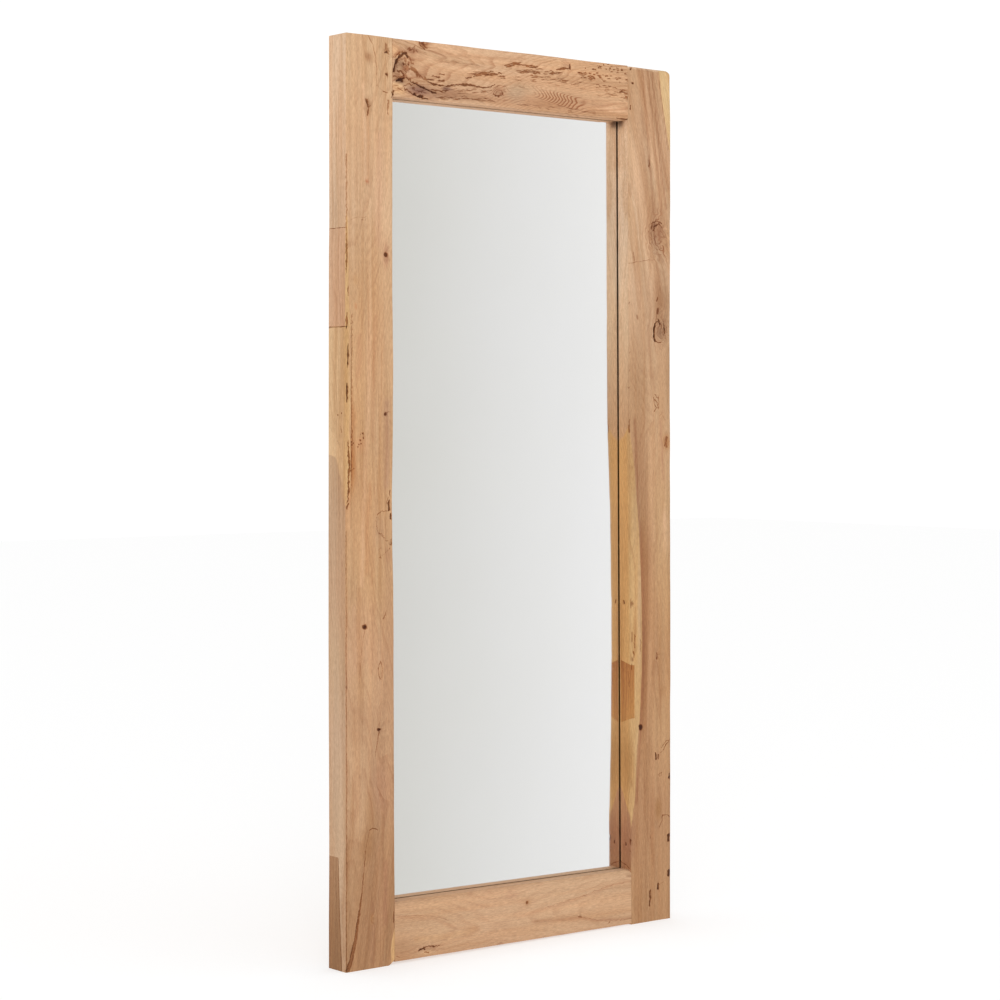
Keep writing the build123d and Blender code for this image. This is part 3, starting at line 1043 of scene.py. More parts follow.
        # The heartwood colour attribute carries painted shade along with the wood's tone.
        for title, kind, data, part in (
            ("grain", "FLOAT_VECTOR", grain, "vector"),
            ("ring", "FLOAT", ring, "value"),
            ("tint", "FLOAT_COLOR", np.column_stack([tint, np.ones(count)]), "color"),
            ("pale", "FLOAT_COLOR", np.column_stack([light, np.ones(count)]), "color"),
            ("marks", "FLOAT_VECTOR", marks, "vector"),
            ("sapwood", "FLOAT", inside, "value"),
        ):
            layer = mesh.attributes.new(title, kind, "POINT")
            layer.data.foreach_set(part, np.ascontiguousarray(data, np.float32).ravel())

    def _tints_and_painted_shade(
        self, places: np.ndarray, along: np.ndarray, depth: np.ndarray
    ) -> tuple[np.ndarray, np.ndarray]:
        """Colours of heartwood and sapwood at each place, as linear light; the heartwood colour
        includes painted shade.
        """
        side = ease(depth, 0.5, 2.5)[:, None]
        # The stops give the wood's tone plus painted shade, darker towards the bottom of the
        # stiles.
        tint = self._stops(self.tone_and_shade_stops, along)
        if self.side_tone_and_shade_stops:
            tint = tint * (1 - side) + self._stops(self.side_tone_and_shade_stops, along) * side
        back = ease(depth, 3, 9)[:, None]
        pale = np.asarray(linear(self.sap_tint)) * (1 - back)
        pale = pale + np.asarray(linear(self.sap_side_tint)) * back
        for stain in self.stains:
            plane, off = self.on_face(places, stain.face)
            offset = (plane - np.asarray(stain.centre)) / np.asarray(stain.radii)
            share = stain.strength * np.exp(-(np.sum(offset**2, axis=1) ** 1.5))
            share = (share * np.exp(-((off / STAIN_FADE) ** 2)))[:, None]
            colour = np.asarray(linear(stain.colour)) * share
            if stain.sap:
                pale = pale * (1 - share) + colour
            else:
                tint = tint * (1 - share) + colour
        for vein in self.veins:
            plane, off = self.on_face(places, vein.face)
            near = self._near(plane, vein.path, 2 * vein.width) & (off < 2 * VEIN_FADE)
            rows = np.flatnonzero(near)
            wander = [swell(places[rows], (30, 30, 30), self.seed + n) for n in (7, 8)]
            distance, _ = from_path(plane[rows] + 0.8 * np.stack(wander, axis=1), vein.path)
            share = vein.strength * np.exp(-((2 * distance / vein.width) ** 2))
            share = (share * np.exp(-((off[rows] / VEIN_FADE) ** 2)))[:, None]
            tint[rows] = tint[rows] * (1 - share) + np.asarray(linear(vein.colour)) * share
        return tint, pale

    @staticmethod
    def _stops(tone_and_shade_stops: Sequence[tuple[float, Colour]], along: np.ndarray) -> np.ndarray:
        """Colours between stops along the board, as linear light; on the stiles the stops hold
        painted shade as well as the wood's tone.
        """
        stops = [s[0] for s in tone_and_shade_stops]
        colours = np.array([linear(s[1]) for s in tone_and_shade_stops])
        return np.stack([np.interp(along, stops, colours[:, n]) for n in range(3)], axis=1)

    def _sapwood(
        self, along: np.ndarray, depth: np.ndarray, across: np.ndarray, low: np.ndarray,
        high: np.ndarray,
    ) -> np.ndarray:
        """How far inside the sapwood each place is, in mm; negative is heartwood."""
        inside = np.full(len(along), NO_SAPWOOD)
        for band in self.sapwood:
            width = np.interp(along, *np.transpose(band.widths))
            back = np.interp(along, *np.transpose(band.depths))
            offset = high - across if band.from_high_edge else across - low
            share = 1 - offset / np.maximum(width, 0.01) - depth / np.maximum(back, 0.01)
            found = np.where((width > 0.5) & (back > 0.5), share * width, NO_SAPWOOD)
            inside = np.maximum(inside, found)
        return inside

    def build(self, frame: dict, effects: Effects) -> bpy.types.Object:
        """Makes the board and hands it to the frame.

        Args:
            effects: The shared node groups.

        Returns:
            The finished piece.
        """
        piece = self.work(self.mesh(frame), self.node + "_worn")
        piece.data.materials.append(self.finish.make(effects))
        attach(piece, BODY)
        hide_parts(self.node)
        triangles = sum(len(polygon.vertices) - 2 for polygon in piece.data.polygons)
        log.info("%s: %d triangles", piece.name, triangles)
        return piece


LEFT_OUTER: tuple[Point, ...] = ((0, 0), (FRAME_HEIGHT, 0))
LEFT_INNER: tuple[Point, ...] = ((0, 111), (FRAME_HEIGHT, 105.5))
RIGHT_INNER: tuple[Point, ...] = ((0, 694), (FRAME_HEIGHT, 684))
RIGHT_OUTER: tuple[Point, ...] = ((0, FRAME_WIDTH), (FRAME_HEIGHT, FRAME_WIDTH))
LEFT_EDGE_SAP = Sapwood(
    ((840, 0), (870, 5), (905, 8), (1000, 10), (1100, 11), (1168, 10), (1230, 6), (1350, 4),
    (1380, 0)),
    ((840, 0), (870, 8), (930, 30), (975, 200), (1167, 200), (1169, 3), (1350, 3), (1380, 0)),
)
# Colour stops of the left stile's outer side: the wood's tone plus painted shade, darker towards
# the bottom.
LEFT_SIDE_TONE_AND_SHADE = (
    (0, (190, 152, 118)), (290, (193, 158, 125)), (427, (193, 158, 127)), (564, (190, 155, 121)),
    (701, (190, 152, 119)), (838, (189, 153, 120)), (975, (192, 155, 118)), (1386, (208, 173, 140)),
    (1523, (219, 180, 144)), (1660, (225, 190, 156)),
)
LEFT_RAGGED_EDGE = (
    *grooves(
        (3.4, 4.6, 1.4, 0.7, 1, 4, 846, 7, 875, 6, 900, 9, 918, 6, 935, 5, 964),
        (4.5, 5.5, 1.6, 0.85, 0.5, 3, 1030, 4, 1048, 3, 1066),
        (3, 3, 1.4, 0.85, 0.4, 4, 1093, 5, 1115, 5, 1138),
        (4.5, 4, 1.4, 0.85, 0.6, 2, 1164, 3, 1194), (2.6, 2.2, 1, 0.75, 0.4, 5, 1223, 5, 1242),
        (3.4, 3, 1, 0.8, 0.5, 1.5, 1264, 2, 1295, 1.5, 1326), taper=True,
    ),
    *grooves(
        (2.5, 2, 1.2, 0.7, 0.8, 2, 838, 6, 848), (1.4, 1, 0.6, 0.45, 0.8, 6, 900, 12, 908, 20, 911),
    ),
)


def left_stile() -> Board:
    """The left stile: straight grain, small knots, a long split at its foot."""
    knots = (
        Knot((75, 433), (5, 6), 0.6, 1.0, 0.4), Knot((75, 430), (14, 60), 1.4, 0.12),
        Knot((43, 622), (5, 6), 0.6, 1.0, 0.3), Knot((89, 1010), (5.5, 6), 0.6, 0.9, 0.3),
        Knot((91, 1301), (9, 24), 1.0, 0.2), Knot((2, 516), (4, 4), 0.4, 0.7),
        Knot((76, 350), (24, 40), 1.1, 0.05), Knot((60, 90), (5, 9), 1.0, 0.3),
    )
    worm = tuple(
        Crack(((x, z),), (3.0, 3.0), 0.8, 0.85, fray=0.2)
        for (x, z) in ((30, 954), (35, 956), (33, 962), (40, 966), (34, 973), (39, 974), (14, 954),
        (17, 957), (12, 959), (28, 950))
    )
    cracks = (
        *grooves(
            (8, 2.6, 0.8, 0.46, 0.4, 4, 2, 12, 24, 20, 50, 26, 75, 31, 105, 35, 135),
            (2.4, 1.6, 1.2, 0.82, 0.4, 1, 2, 9, 24, 17, 50, 24, 78, 30, 110),
            (1.8, 1.4, 1, 0.72, 0.4, 8, 2, 15, 22, 22, 48, 27, 75, 32, 108, 37, 140),
            (5, 4, 1.2, 0.9, 0.4, 1, 3, 5, 8),
            (2.4, 1.4, 0.6, 0.55, 0.4, 36, 135, 39, 160, 42, 190, 44, 215),
            (1.6, 1, 0.4, 0.4, 0.4, 44, 215, 48, 235, 54, 252),
            (1.8, 1.8, 0.5, 0.6, 0.5, 53, 252, 60, 256, 66, 255, 72, 251),
            (1.6, 1, 0.3, 0.32, 0.5, 43, 618, 38, 595, 33, 560, 31, 520),
            (2.2, 1.2, 0.4, 0.42, 0.5, 75, 428, 71, 408, 66, 385),
            (1.6, 1, 0.3, 0.3, 0.5, 76, 438, 77, 465),
            (1.8, 1.6, 0.4, 0.5, 0.6, 78, 558, 74, 548, 75, 532, 80, 524),
            (1.8, 1.6, 0.4, 0.5, 0.6, 80, 556, 83, 543, 81, 528),
            (1.8, 1.4, 0.4, 0.5, 0.6, 84, 636, 89, 641, 92, 650), (7.5, 7.5, 1.6, 1, 0.3, 91, 1301),
            (1, 0.8, 0.2, 0.3, 0.8, 10, 1362, 28, 1367, 46, 1368),
            (3.6, 4, 0.4, 0.32, 1.2, 13, 1190, 14, 1140, 12, 1060, 12, 980),
            (3, 2, 0.5, 0.45, 1.4, 14, 980, 13, 930, 10, 880),
            # The next row is a painted shadow line down the outer arris, cut in as a shallow
            # groove.
            (1.8, 1.8, 0.4, 0.42, 0.5, 0.5, 1480, 0.8, 1450, 0.5, 1300),
            (1.2, 1.1, 0.5, 0.42, 2.2, 78, 748, 82, 752, 92, 757, 102, 765),
            (1.3, 1, 0.4, 0.35, 2.4, 82, 748, 74, 757, 78, 768),
            (1.3, 1.7, 0.6, 0.5, 1.4, 101, 770, 97, 777, 85, 785, 74, 792),
            (2.4, 1.6, 0.6, 0.36, 1.6, 86, 786, 80, 791, 72, 795, 70, 812, 71, 827),
            (1.5, 1.2, 0.6, 0.5, 1, 71, 826, 80, 831, 92, 833, 103, 834),
            (3.5, 2.5, 1.6, 0.9, 1, 101, 834, 100, 845, 102, 852),
            (1.2, 1.2, 0.5, 0.5, 0.8, 97, 838, 94, 850, 99, 858),
            (3, 2, 1.4, 0.9, 0.8, 101, 862, 104, 870), (2, 2, 1.2, 0.9, 0.8, 105, 770, 105.5, 780),
            (3, 2, 1.6, 0.9, 0.8, 104.5, 818, 105.5, 828),
            (1, 0.7, 0.4, 0.5, 0.8, 91, 1012, 96, 1013, 104, 1014),
            (2, 5.5, 0.8, 0.78, 0.8, 49, 1553, 50, 1566, 47, 1580),
            (4, 2, 0.8, 0.6, 0.8, 50, 1568, 57, 1571), (5, 3, 0.5, 0.45, 0.8, 95, 1560, 96, 1584),
            (2.4, 1.6, 0.7, 0.6, 0.8, 94, 1597, 84, 1599),
            (3.5, 2.5, 1.4, 0.9, 0.8, 105, 1590, 104, 1600), (6.5, 6.5, 1.4, 1, 0.8, 93, 1631),
            (5.5, 5.5, 1.2, 1, 0.8, 91, 1672), (8, 6, 0.5, 0.4, 0.8, 91, 1674, 90, 1686),
            (2, 1.6, 0.4, 0.5, 0.8, 97, 1680, 96, 1664),
            (1.4, 1.4, 0.4, 0.4, 0.8, 95, 1624, 92, 1644),
            (1, 0.8, 0.3, 0.35, 0.8, 35, 1361, 45, 1365),
            (1.6, 2.2, 0.2, 0.38, 0.4, 70, 1608, 70, 1640, 67, 1662, 60, 1684, 50, 1699),
            (1.4, 1.2, 0.2, 0.22, 0.4, 90, 1598, 78, 1603, 70, 1612),
            (2, 1.2, 0.8, 0.7, 0.8, 108, 78, 109, 97), (7, 7, 1, 0.92, 0.8, 75, 434),
            (7, 7, 1, 0.92, 0.8, 42, 623), (6.5, 6.5, 0.8, 0.72, 0.8, 89, 1010),
        ),
        *grooves((1.8, 1.4, 0.4, 0.42, 0.3, 1.2, 2, 1.4, 400, 1.2, 798), soak=1.1), *worm,
        *LEFT_RAGGED_EDGE,
    )
    tones = stains(
        (55, 100, 60, 130, 168, 122, 88, 0.35), (70, 880, 14, 60, 196, 148, 100, 0.4),
        (10, 905, 12, 60, 176, 118, 66, 0.6), (20, 1080, 30, 150, 205, 158, 108, 0.35),
        (60, 760, 60, 160, 206, 160, 112, 0.3), (22, 1205, 3, 6, 190, 120, 70, 0.6),
        (22, 1253, 5, 10, 196, 146, 96, 0.5), (48, 1433, 3, 5, 176, 92, 48, 0.9),
        (51, 1659, 9, 9, 172, 124, 84, 0.8), (50, 1566, 9, 16, 170, 122, 82, 0.7),
        (10, 925, 12, 50, 168, 104, 50, 0.75), (97, 750, 9, 16, 176, 128, 92, 0.6),
        (91, 1300, 8, 26, 170, 112, 82, 0.5), (54, 285, 14, 50, 168, 122, 80, 0.6),
        (46, 222, 18, 32, 158, 110, 66, 0.6), (80, 330, 24, 50, 174, 128, 98, 0.5),
        (30, 610, 34, 70, 202, 160, 124, 0.5), (40, 520, 28, 40, 200, 162, 122, 0.4),
        (20, 330, 26, 100, 202, 162, 124, 0.7), (72, 1090, 15, 260, 216, 174, 134, 0.5),
        (98, 600, 13, 210, 174, 130, 94, 0.6), (10, 1005, 8, 60, 172, 112, 60, 0.6),
        (35, 955, 14, 16, 196, 140, 98, 0.45), (77, 795, 14, 30, 178, 140, 110, 0.35),
        (60, 90, 4, 10, 196, 146, 86, 0.6), (79, 540, 9, 14, 186, 140, 98, 0.4),
        (88, 640, 5, 14, 178, 134, 96, 0.35), (18, 1000, 8, 26, 180, 124, 78, 0.5),
        (55, 1250, 30, 140, 200, 156, 112, 0.3),
    )
    streaks = veins(
        (7, 222, 182, 146, 0.7, 40, 1610, 42, 1520, 44, 1440),
        (8, 216, 174, 134, 0.6, 50, 1400, 52, 1300, 53, 1195),
        (8, 194, 142, 100, 0.6, 49, 1560, 50, 1500, 49, 1440),
        (14, 204, 156, 122, 0.5, 76, 1520, 75, 1420, 74, 1320),
        (6, 188, 136, 98, 0.4, 66, 1190, 62, 1080, 60, 960),
        (9, 212, 170, 132, 0.7, 52, 1190, 51, 1020, 42, 860, 36, 700),
        (7, 186, 132, 90, 0.5, 54, 880, 49, 800, 48, 720),
        (14, 178, 136, 108, 0.6, 93, 1030, 94, 960, 94, 880),
        (14, 186, 134, 96, 0.5, 30, 1150, 31, 1110, 28, 1080),
        (9, 196, 152, 114, 0.5, 26, 1700, 24, 1550, 22, 1400),
        (8, 182, 138, 98, 0.5, 16, 860, 18, 760, 14, 680),
        (8, 184, 138, 98, 0.5, 70, 880, 66, 800, 58, 700),
        (6, 206, 164, 130, 0.5, 18, 660, 22, 590, 20, 540),
        (8, 180, 136, 100, 0.5, 60, 660, 62, 600, 58, 540),
        (12, 158, 110, 80, 0.6, 90, 190, 89, 130, 88, 80),
        (10, 158, 112, 80, 0.5, 61, 120, 62, 60, 60, 10),
        (8, 180, 136, 100, 0.5, 72, 230, 76, 150, 78, 60),
        (9, 184, 142, 104, 0.5, 14, 300, 10, 200, 16, 120),
        (6, 176, 124, 76, 0.5, 5, 1190, 7, 1000, 5, 850),
    )
    # The front and side colour stops below hold the wood's tone plus painted shade, darker towards
    # the bottom.
    return Board(
        "left_stile", "left_stile_teak", WoodFinish("Left stile teak", 0.3, 0.6, 0.5), LEFT_OUTER,
        LEFT_INNER, ((0, (171, 129, 90)), (151, (169, 127, 88)), (288, (176, 134, 98)),
        (425, (184, 143, 107)), (562, (191, 148, 112)), (699, (190, 151, 112)),
        (835, (193, 152, 112)), (972, (191, 151, 110)), (1109, (199, 158, 118)),
        (1246, (200, 159, 119)), (1383, (207, 168, 131)), (1519, (205, 164, 125)),
        (1656, (207, 169, 130))), pith=((0, -10, 60), (300, 40, 95), (700, -60, 120),
        (1100, -80, 130), (1500, 30, 120), (1700, 75, 95)), ring_width=6.5, drift=1.0, seed=3,
        crack_shade=0.88, lean=((0, 34), (250, 0), (1700, 0)), cracks=cracks, knots=knots,
        fineness=((3.0, 2.5), (1.0, 1.5), (0.3, 1.15)), side_tone_and_shade_stops=LEFT_SIDE_TONE_AND_SHADE,
        sap_side_tint=(212, 174, 131), stains=tones, veins=streaks, sapwood=(LEFT_EDGE_SAP,
        Sapwood(((0, 8), (40, 7), (72, 0)), ((0, 90), (72, 90)), from_high_edge=True)),
    )


def right_stile() -> Board:
    """The right stile: sapwood along its natural bevel, large knots higher up."""
    knots = (
        Knot((770, 1176), (24, 30), 3.2, 0.12), Knot((770, 1174), (15, 17), 1.2, 0.5, 0.8),
        Knot((768, 1215), (9, 9), 1.6, 0.3), Knot((710, 1203), (4, 6), 0.8, 0.4),
        Knot((762, 1366), (30, 46), 3.6, 0.2), Knot((758, 1388), (11, 9), 0.8, 0.6, 0.4),
        Knot((742, 1511), (7, 12), 1.2, 0.4), Knot((762, 527), (6, 9), 1.4, 0.3),
        Knot((765, 66), (4, 6), 0.6, 0.5), Knot((698, 523), (6, 7), 0.8, 0.7, 0.5),
        Knot((697, 635), (5, 7), 0.8, 0.7, 0.5), Knot((788, 955), (8, 16), 1.4, 0.2),
    )
    cracks = grooves(
        (6, 5, 0.5, 1, 0.8, 795, 86, 796, 96), (6.5, 6, 0.7, 1, 0.8, 794, 158, 795, 166),
        (4, 3, 1.2, 0.85, 0.8, 796, 283, 797, 291),
        (2, 1.6, 0.5, 0.6, 0.8, 798, 204, 788, 209, 778, 207),
        (2.4, 2, 0.4, 0.42, 0.8, 780, 209, 776, 198, 771, 186),
        (1.8, 1.4, 0.6, 0.55, 0.8, 797, 356, 788, 350, 780, 338, 772, 334),
        (2.6, 3.6, 0.7, 0.7, 0.8, 767, 321, 766, 330), (3, 4, 0.7, 0.86, 0.8, 761, 322, 759, 334),
        (3.6, 4.4, 0.6, 0.72, 0.8, 742, 32, 745, 46, 744, 60),
        (5, 4.4, 0.6, 0.85, 0.8, 765, 62, 766, 72), (1.6, 1.2, 0.3, 0.35, 0.8, 766, 70, 780, 74),
        (10, 10, 1, 1, 0.4, 719, 388), (1.4, 1.2, 0.5, 0.5, 0.8, 774, 344, 784, 352, 797, 360),
        (1.4, 1.4, 0.3, 0.4, 0.8, 770, 292, 776, 294, 774, 287),
        (1.4, 1.2, 0.3, 0.45, 0.8, 700, 1332, 702, 1316),
        (1.8, 1.4, 0.4, 0.5, 0.8, 756, 1050, 766, 1042),
        (1.8, 1.4, 0.4, 0.5, 0.8, 757, 1040, 765, 1033),
        (1.6, 1.4, 0.4, 0.5, 0.8, 754, 1044, 756, 1030, 762, 1022),
        (1.4, 1.4, 0.4, 0.45, 0.8, 766, 1050, 769, 1036, 766, 1024),
        (1.4, 1.2, 0.3, 0.4, 0.8, 770, 1006, 778, 1014),
        (3, 2, 0.4, 0.6, 0.8, 747, 1380, 750, 1392, 762, 1396, 776, 1392),
        (4, 3, 0.5, 0.66, 0.8, 752, 1376, 756, 1386, 764, 1388),
        (1.6, 1.2, 0.2, 0.36, 0.8, 746, 1372, 750, 1352, 762, 1338, 776, 1342),
        (1.4, 1.2, 0.2, 0.34, 0.8, 754, 1368, 758, 1352, 768, 1350, 776, 1360),
        (1.6, 1.2, 0.2, 0.28, 0.8, 740, 1376, 744, 1350, 758, 1330, 776, 1330),
        (5, 5, 0.5, 0.34, 0.8, 786, 948, 790, 964), (5, 4, 0.6, 0.5, 0.8, 764, 1213, 766, 1221),
        (2.6, 2, 0.4, 0.5, 0.8, 763, 1236, 764, 1244), (2, 1.5, 0.4, 0.45, 0.8, 746, 166, 746, 172),
        (3, 2, 0.4, 0.3, 0.8, 770, 286, 768, 291), (2.6, 1.6, 0.5, 0.5, 0.8, 762, 522, 762, 534),
        (1.6, 1.2, 0.4, 0.45, 0.8, 755, 1016, 760, 1022, 768, 1024),
        (2.6, 1.4, 0.4, 0.35, 0.8, 768, 1022, 760, 1040),
        (3, 2, 0.4, 0.35, 0.8, 790, 945, 788, 965), (1.2, 1, 0.3, 0.3, 0.8, 786, 1000, 779, 1008),
        (3.2, 4.5, 2.2, 0.97, 0.5, 758, 1156, 755, 1166, 755, 1178, 757, 1190),
        (2, 1.4, 1.2, 0.7, 0.5, 757, 1190, 764, 1196, 772, 1197),
        (1.6, 1.2, 0.8, 0.6, 0.5, 758, 1157, 768, 1153, 776, 1154),
        (2.2, 2.6, 1.2, 0.8, 0.6, 784, 1168, 785, 1180, 782, 1196),
        (1.4, 1.4, 0.6, 0.6, 0.8, 776, 1180, 774, 1194),
        (1.2, 1, 0.5, 0.5, 0.8, 787, 1160, 790, 1185), (3, 2, 1.2, 0.85, 0.8, 772, 1190, 766, 1200),
        (1.2, 1, 0.3, 0.35, 0.8, 776, 1356, 770, 1350, 760, 1352, 752, 1362),
        (1.8, 1.6, 0.6, 0.55, 0.8, 776, 1384, 768, 1392, 758, 1388),
        (1.6, 2.4, 0.5, 0.5, 0.8, 758, 1374, 752, 1384, 748, 1390),
        (0.9, 0.7, 0.3, 0.5, 0.8, 687, 1308, 700, 1311, 720, 1314, 757, 1319),
        (1.2, 0.8, 0.3, 0.4, 0.8, 704, 1312, 699, 1324),
        (3.4, 2.6, 0.5, 0.36, 0.8, 742, 1503, 742, 1516),
        (2.6, 2, 0.4, 0.5, 0.8, 710, 1199, 709, 1207), (4.5, 4.5, 0.9, 0.8, 0.8, 698, 1665),
        (2.6, 2.2, 0.7, 0.65, 0.8, 691, 1615, 692, 1621),
        (3, 4, 0.9, 0.75, 0.8, 692, 1692, 696, 1698),
        (2.4, 3.4, 1.2, 0.85, 0.8, 697, 512, 693, 522, 695, 534),
        (2, 2.6, 0.8, 0.7, 0.8, 703, 528, 702, 540), (2, 1.4, 0.6, 0.55, 0.8, 704, 545, 704, 574),
        (1.8, 1.4, 0.6, 0.6, 0.8, 698, 560, 698, 578),
        (1.6, 1.4, 0.5, 0.4, 0.8, 718, 540, 719, 562), (2.4, 3, 1.2, 0.85, 0.8, 694, 628, 693, 643),
        (3, 2, 0.6, 0.5, 0.8, 688, 975, 690, 1000), (2.4, 1.6, 1, 0.8, 0.8, 692, 145, 692, 168),
        (2, 2, 0.8, 0.6, 0.8, 692, 132, 691, 140),
    )
    sawn = tuple(
        Crack(((687.5, z), (690, z + 4)), (1.2, 0.8), 0.6, 0.55)
        for z in (1060, 1095, 1130, 1228)
    )
    inner = grooves(
        (3, 3, 1, 0.8, 0.8, 20, 635, 22, 640), (3, 3, 1, 0.8, 0.8, 15, 155, 16, 160),
        (4, 4, 1, 0.8, 0.8, 3, 140), (2, 1.5, 0.4, 0.5, 0.8, 1, 108, 16, 116, 30, 121),
        face=Face.INNER,
    )
    tones = (
        *stains(
            (719, 388, 4.5, 4.5, 98, 92, 92, 0.95), (730, 394, 3, 5, 176, 106, 56, 0.6),
            (708, 790, 12, 60, 168, 140, 104, 0.6), (704, 860, 9, 40, 172, 140, 104, 0.5),
            (708, 520, 10, 40, 190, 144, 88, 0.4), (770, 1385, 40, 60, 206, 168, 136, 0.35),
            (785, 1350, 14, 20, 214, 172, 126, 0.5), (725, 640, 14, 130, 184, 134, 94, 0.4),
            (728, 1470, 14, 90, 184, 140, 106, 0.45), (730, 1600, 26, 70, 186, 140, 102, 0.4),
            (780, 455, 12, 20, 186, 140, 98, 0.4), (728, 600, 17, 300, 160, 108, 66, 0.9),
        ),
        *stains((785, 1640, 26, 110, 216, 181, 132, 0.9), sap=True),
        *stains(
            (796, 1372, 9, 14, 228, 188, 142, 0.7), (760, 1380, 22, 20, 168, 122, 86, 0.5),
            (709, 1450, 16, 130, 214, 176, 142, 0.5), (789, 1490, 9, 36, 216, 178, 144, 0.6),
            (764, 1260, 12, 50, 172, 126, 90, 0.5), (766, 222, 10, 22, 160, 112, 64, 0.7),
            (778, 457, 9, 14, 168, 120, 76, 0.6), (783, 800, 4, 22, 214, 172, 136, 0.6),
            (789, 955, 10, 16, 176, 116, 64, 0.7), (778, 1370, 26, 70, 178, 137, 101, 0.8),
            (776, 1225, 24, 60, 168, 126, 90, 0.85), (780, 1500, 24, 60, 190, 148, 112, 0.7),
            (782, 520, 20, 60, 176, 132, 92, 0.5),
        ),
        *stains((15, 320, 30, 60, 168, 120, 68, 0.8), face=Face.INNER, sap=True),
        *stains((716, 900, 16, 90, 180, 136, 100, 0.6)),
        # The second stain here, at depth 26 and Z 1590, is a painted shadow at the top of the
        # reveal, under the top rail.
        *stains(
            (10, 170, 30, 45, 140, 84, 58, 0.45), (26, 1590, 15, 12, 100, 68, 44, 0.95),
            face=Face.INNER,
        ),
        *stains(
            (762, 1376, 18, 28, 176, 128, 94, 0.5), (764, 328, 9, 11, 176, 128, 92, 0.5),
            (752, 1412, 16, 50, 182, 136, 98, 0.7), (749, 650, 12, 320, 178, 132, 94, 0.45),
            (775, 1545, 14, 60, 208, 168, 132, 0.6), (790, 770, 18, 40, 204, 164, 128, 0.4),
        ),
        *stains(
            (716, 620, 5, 120, 190, 160, 126, 0.6), (704, 800, 6, 80, 176, 142, 104, 0.5),
            (704, 560, 4, 60, 176, 128, 76, 0.6), (712, 330, 8, 60, 214, 180, 132, 0.7), sap=True,
        ),
    )
    streaks = veins(
        (6, 166, 118, 82, 0.75, 722, 1700, 731, 1610, 740, 1540, 747, 1470, 754, 1410),
        (6, 164, 116, 80, 0.75, 738, 1700, 748, 1620, 758, 1540, 766, 1470, 776, 1410),
        (5, 160, 110, 74, 0.75, 749, 1690, 758, 1610, 768, 1540, 778, 1470, 790, 1420),
        (5, 170, 122, 86, 0.6, 762, 1620, 772, 1560, 784, 1500, 794, 1460),
        (6, 172, 126, 90, 0.6, 712, 1700, 720, 1640, 728, 1560),
        (5, 208, 168, 134, 0.6, 730, 1690, 740, 1610, 749, 1540, 756, 1480),
        (5, 206, 166, 130, 0.6, 743, 1690, 753, 1610, 763, 1540, 772, 1470),
        (3.5, 150, 100, 58, 0.6, 768, 1700, 773, 1650, 780, 1610, 790, 1560, 797, 1535),
        (8, 180, 136, 100, 0.5, 745, 1330, 742, 1260, 744, 1200),
        (8, 206, 168, 132, 0.5, 728, 1190, 738, 1100, 750, 1000),
        (6, 176, 132, 98, 0.5, 740, 1190, 746, 1100, 756, 1060),
        (5, 176, 128, 98, 0.6, 772, 1000, 777, 940, 780, 880), (7, 150, 96, 62, 0.65, 704, 1000,
        708, 900, 715, 800, 724, 700, 726, 600, 725, 500, 720, 400, 714, 320, 707, 240),
        (10, 200, 158, 120, 0.5, 745, 960, 748, 860, 752, 760),
        (6, 176, 130, 94, 0.5, 735, 860, 740, 760, 745, 680),
        (7, 178, 132, 94, 0.6, 762, 640, 762, 560, 761, 480),
        (8, 192, 146, 106, 0.5, 745, 560, 740, 460, 735, 360),
        (9, 190, 144, 104, 0.5, 752, 330, 754, 240, 752, 160),
    )
    # The front and reveal colour stops below hold the wood's tone plus painted shade, mostly darker
    # towards the bottom.
    return Board(
        "right_stile", "right_stile_teak", WoodFinish("Right stile teak", 0.34, 0.6, 0.5),
        RIGHT_INNER, RIGHT_OUTER, ((0, (175, 132, 92)), (237, (177, 132, 93)),
        (378, (186, 143, 101)), (519, (182, 137, 94)), (659, (188, 146, 103)),
        (800, (191, 153, 112)), (941, (193, 152, 113)), (1081, (188, 149, 112)),
        (1262, (202, 165, 131)), (1423, (203, 166, 129)), (1544, (201, 163, 127)),
        (1664, (191, 149, 111))), pith=((0, 850, 110), (400, 770, 120), (700, 690, 110),
        (1000, 800, 130), (1300, 700, 120), (1500, 660, 100), (1700, 600, 80)), ring_width=6.0,
        drift=1.0, seed=8, outer_is_high=True, crack_shade=1.05,
        lean=((0, 0), (1180, 0), (1400, 30), (1700, 105)), side_tone_and_shade_stops=((0, (194, 149, 117)),
        (100, (190, 144, 110)), (112, (160, 112, 76)), (197, (172, 124, 86)), (921, (180, 136, 96)),
        (1041, (188, 148, 111)), (1162, (201, 165, 129)), (1282, (210, 178, 145)),
        (1403, (207, 175, 144)), (1523, (218, 182, 147))), sap_tint=(196, 156, 106),
        sap_side_tint=(190, 143, 88), cracks=(*cracks, *sawn, *inner), knots=knots, stains=tones,
        veins=streaks, sapwood=(Sapwood(((188, 0), (250, 11), (300, 14), (350, 17), (400, 24),
        (500, 31), (600, 32), (700, 29), (800, 22), (900, 14), (985, 1), (990, 0)),
        ((188, 0), (215, 5), (330, 60), (600, 140), (860, 120), (985, 3), (990, 0))),
        Sapwood(((1530, 0), (1570, 9), (1620, 20), (1660, 27), (1700, 32)),
        ((1530, 60), (1700, 200)), from_high_edge=True)),
    )


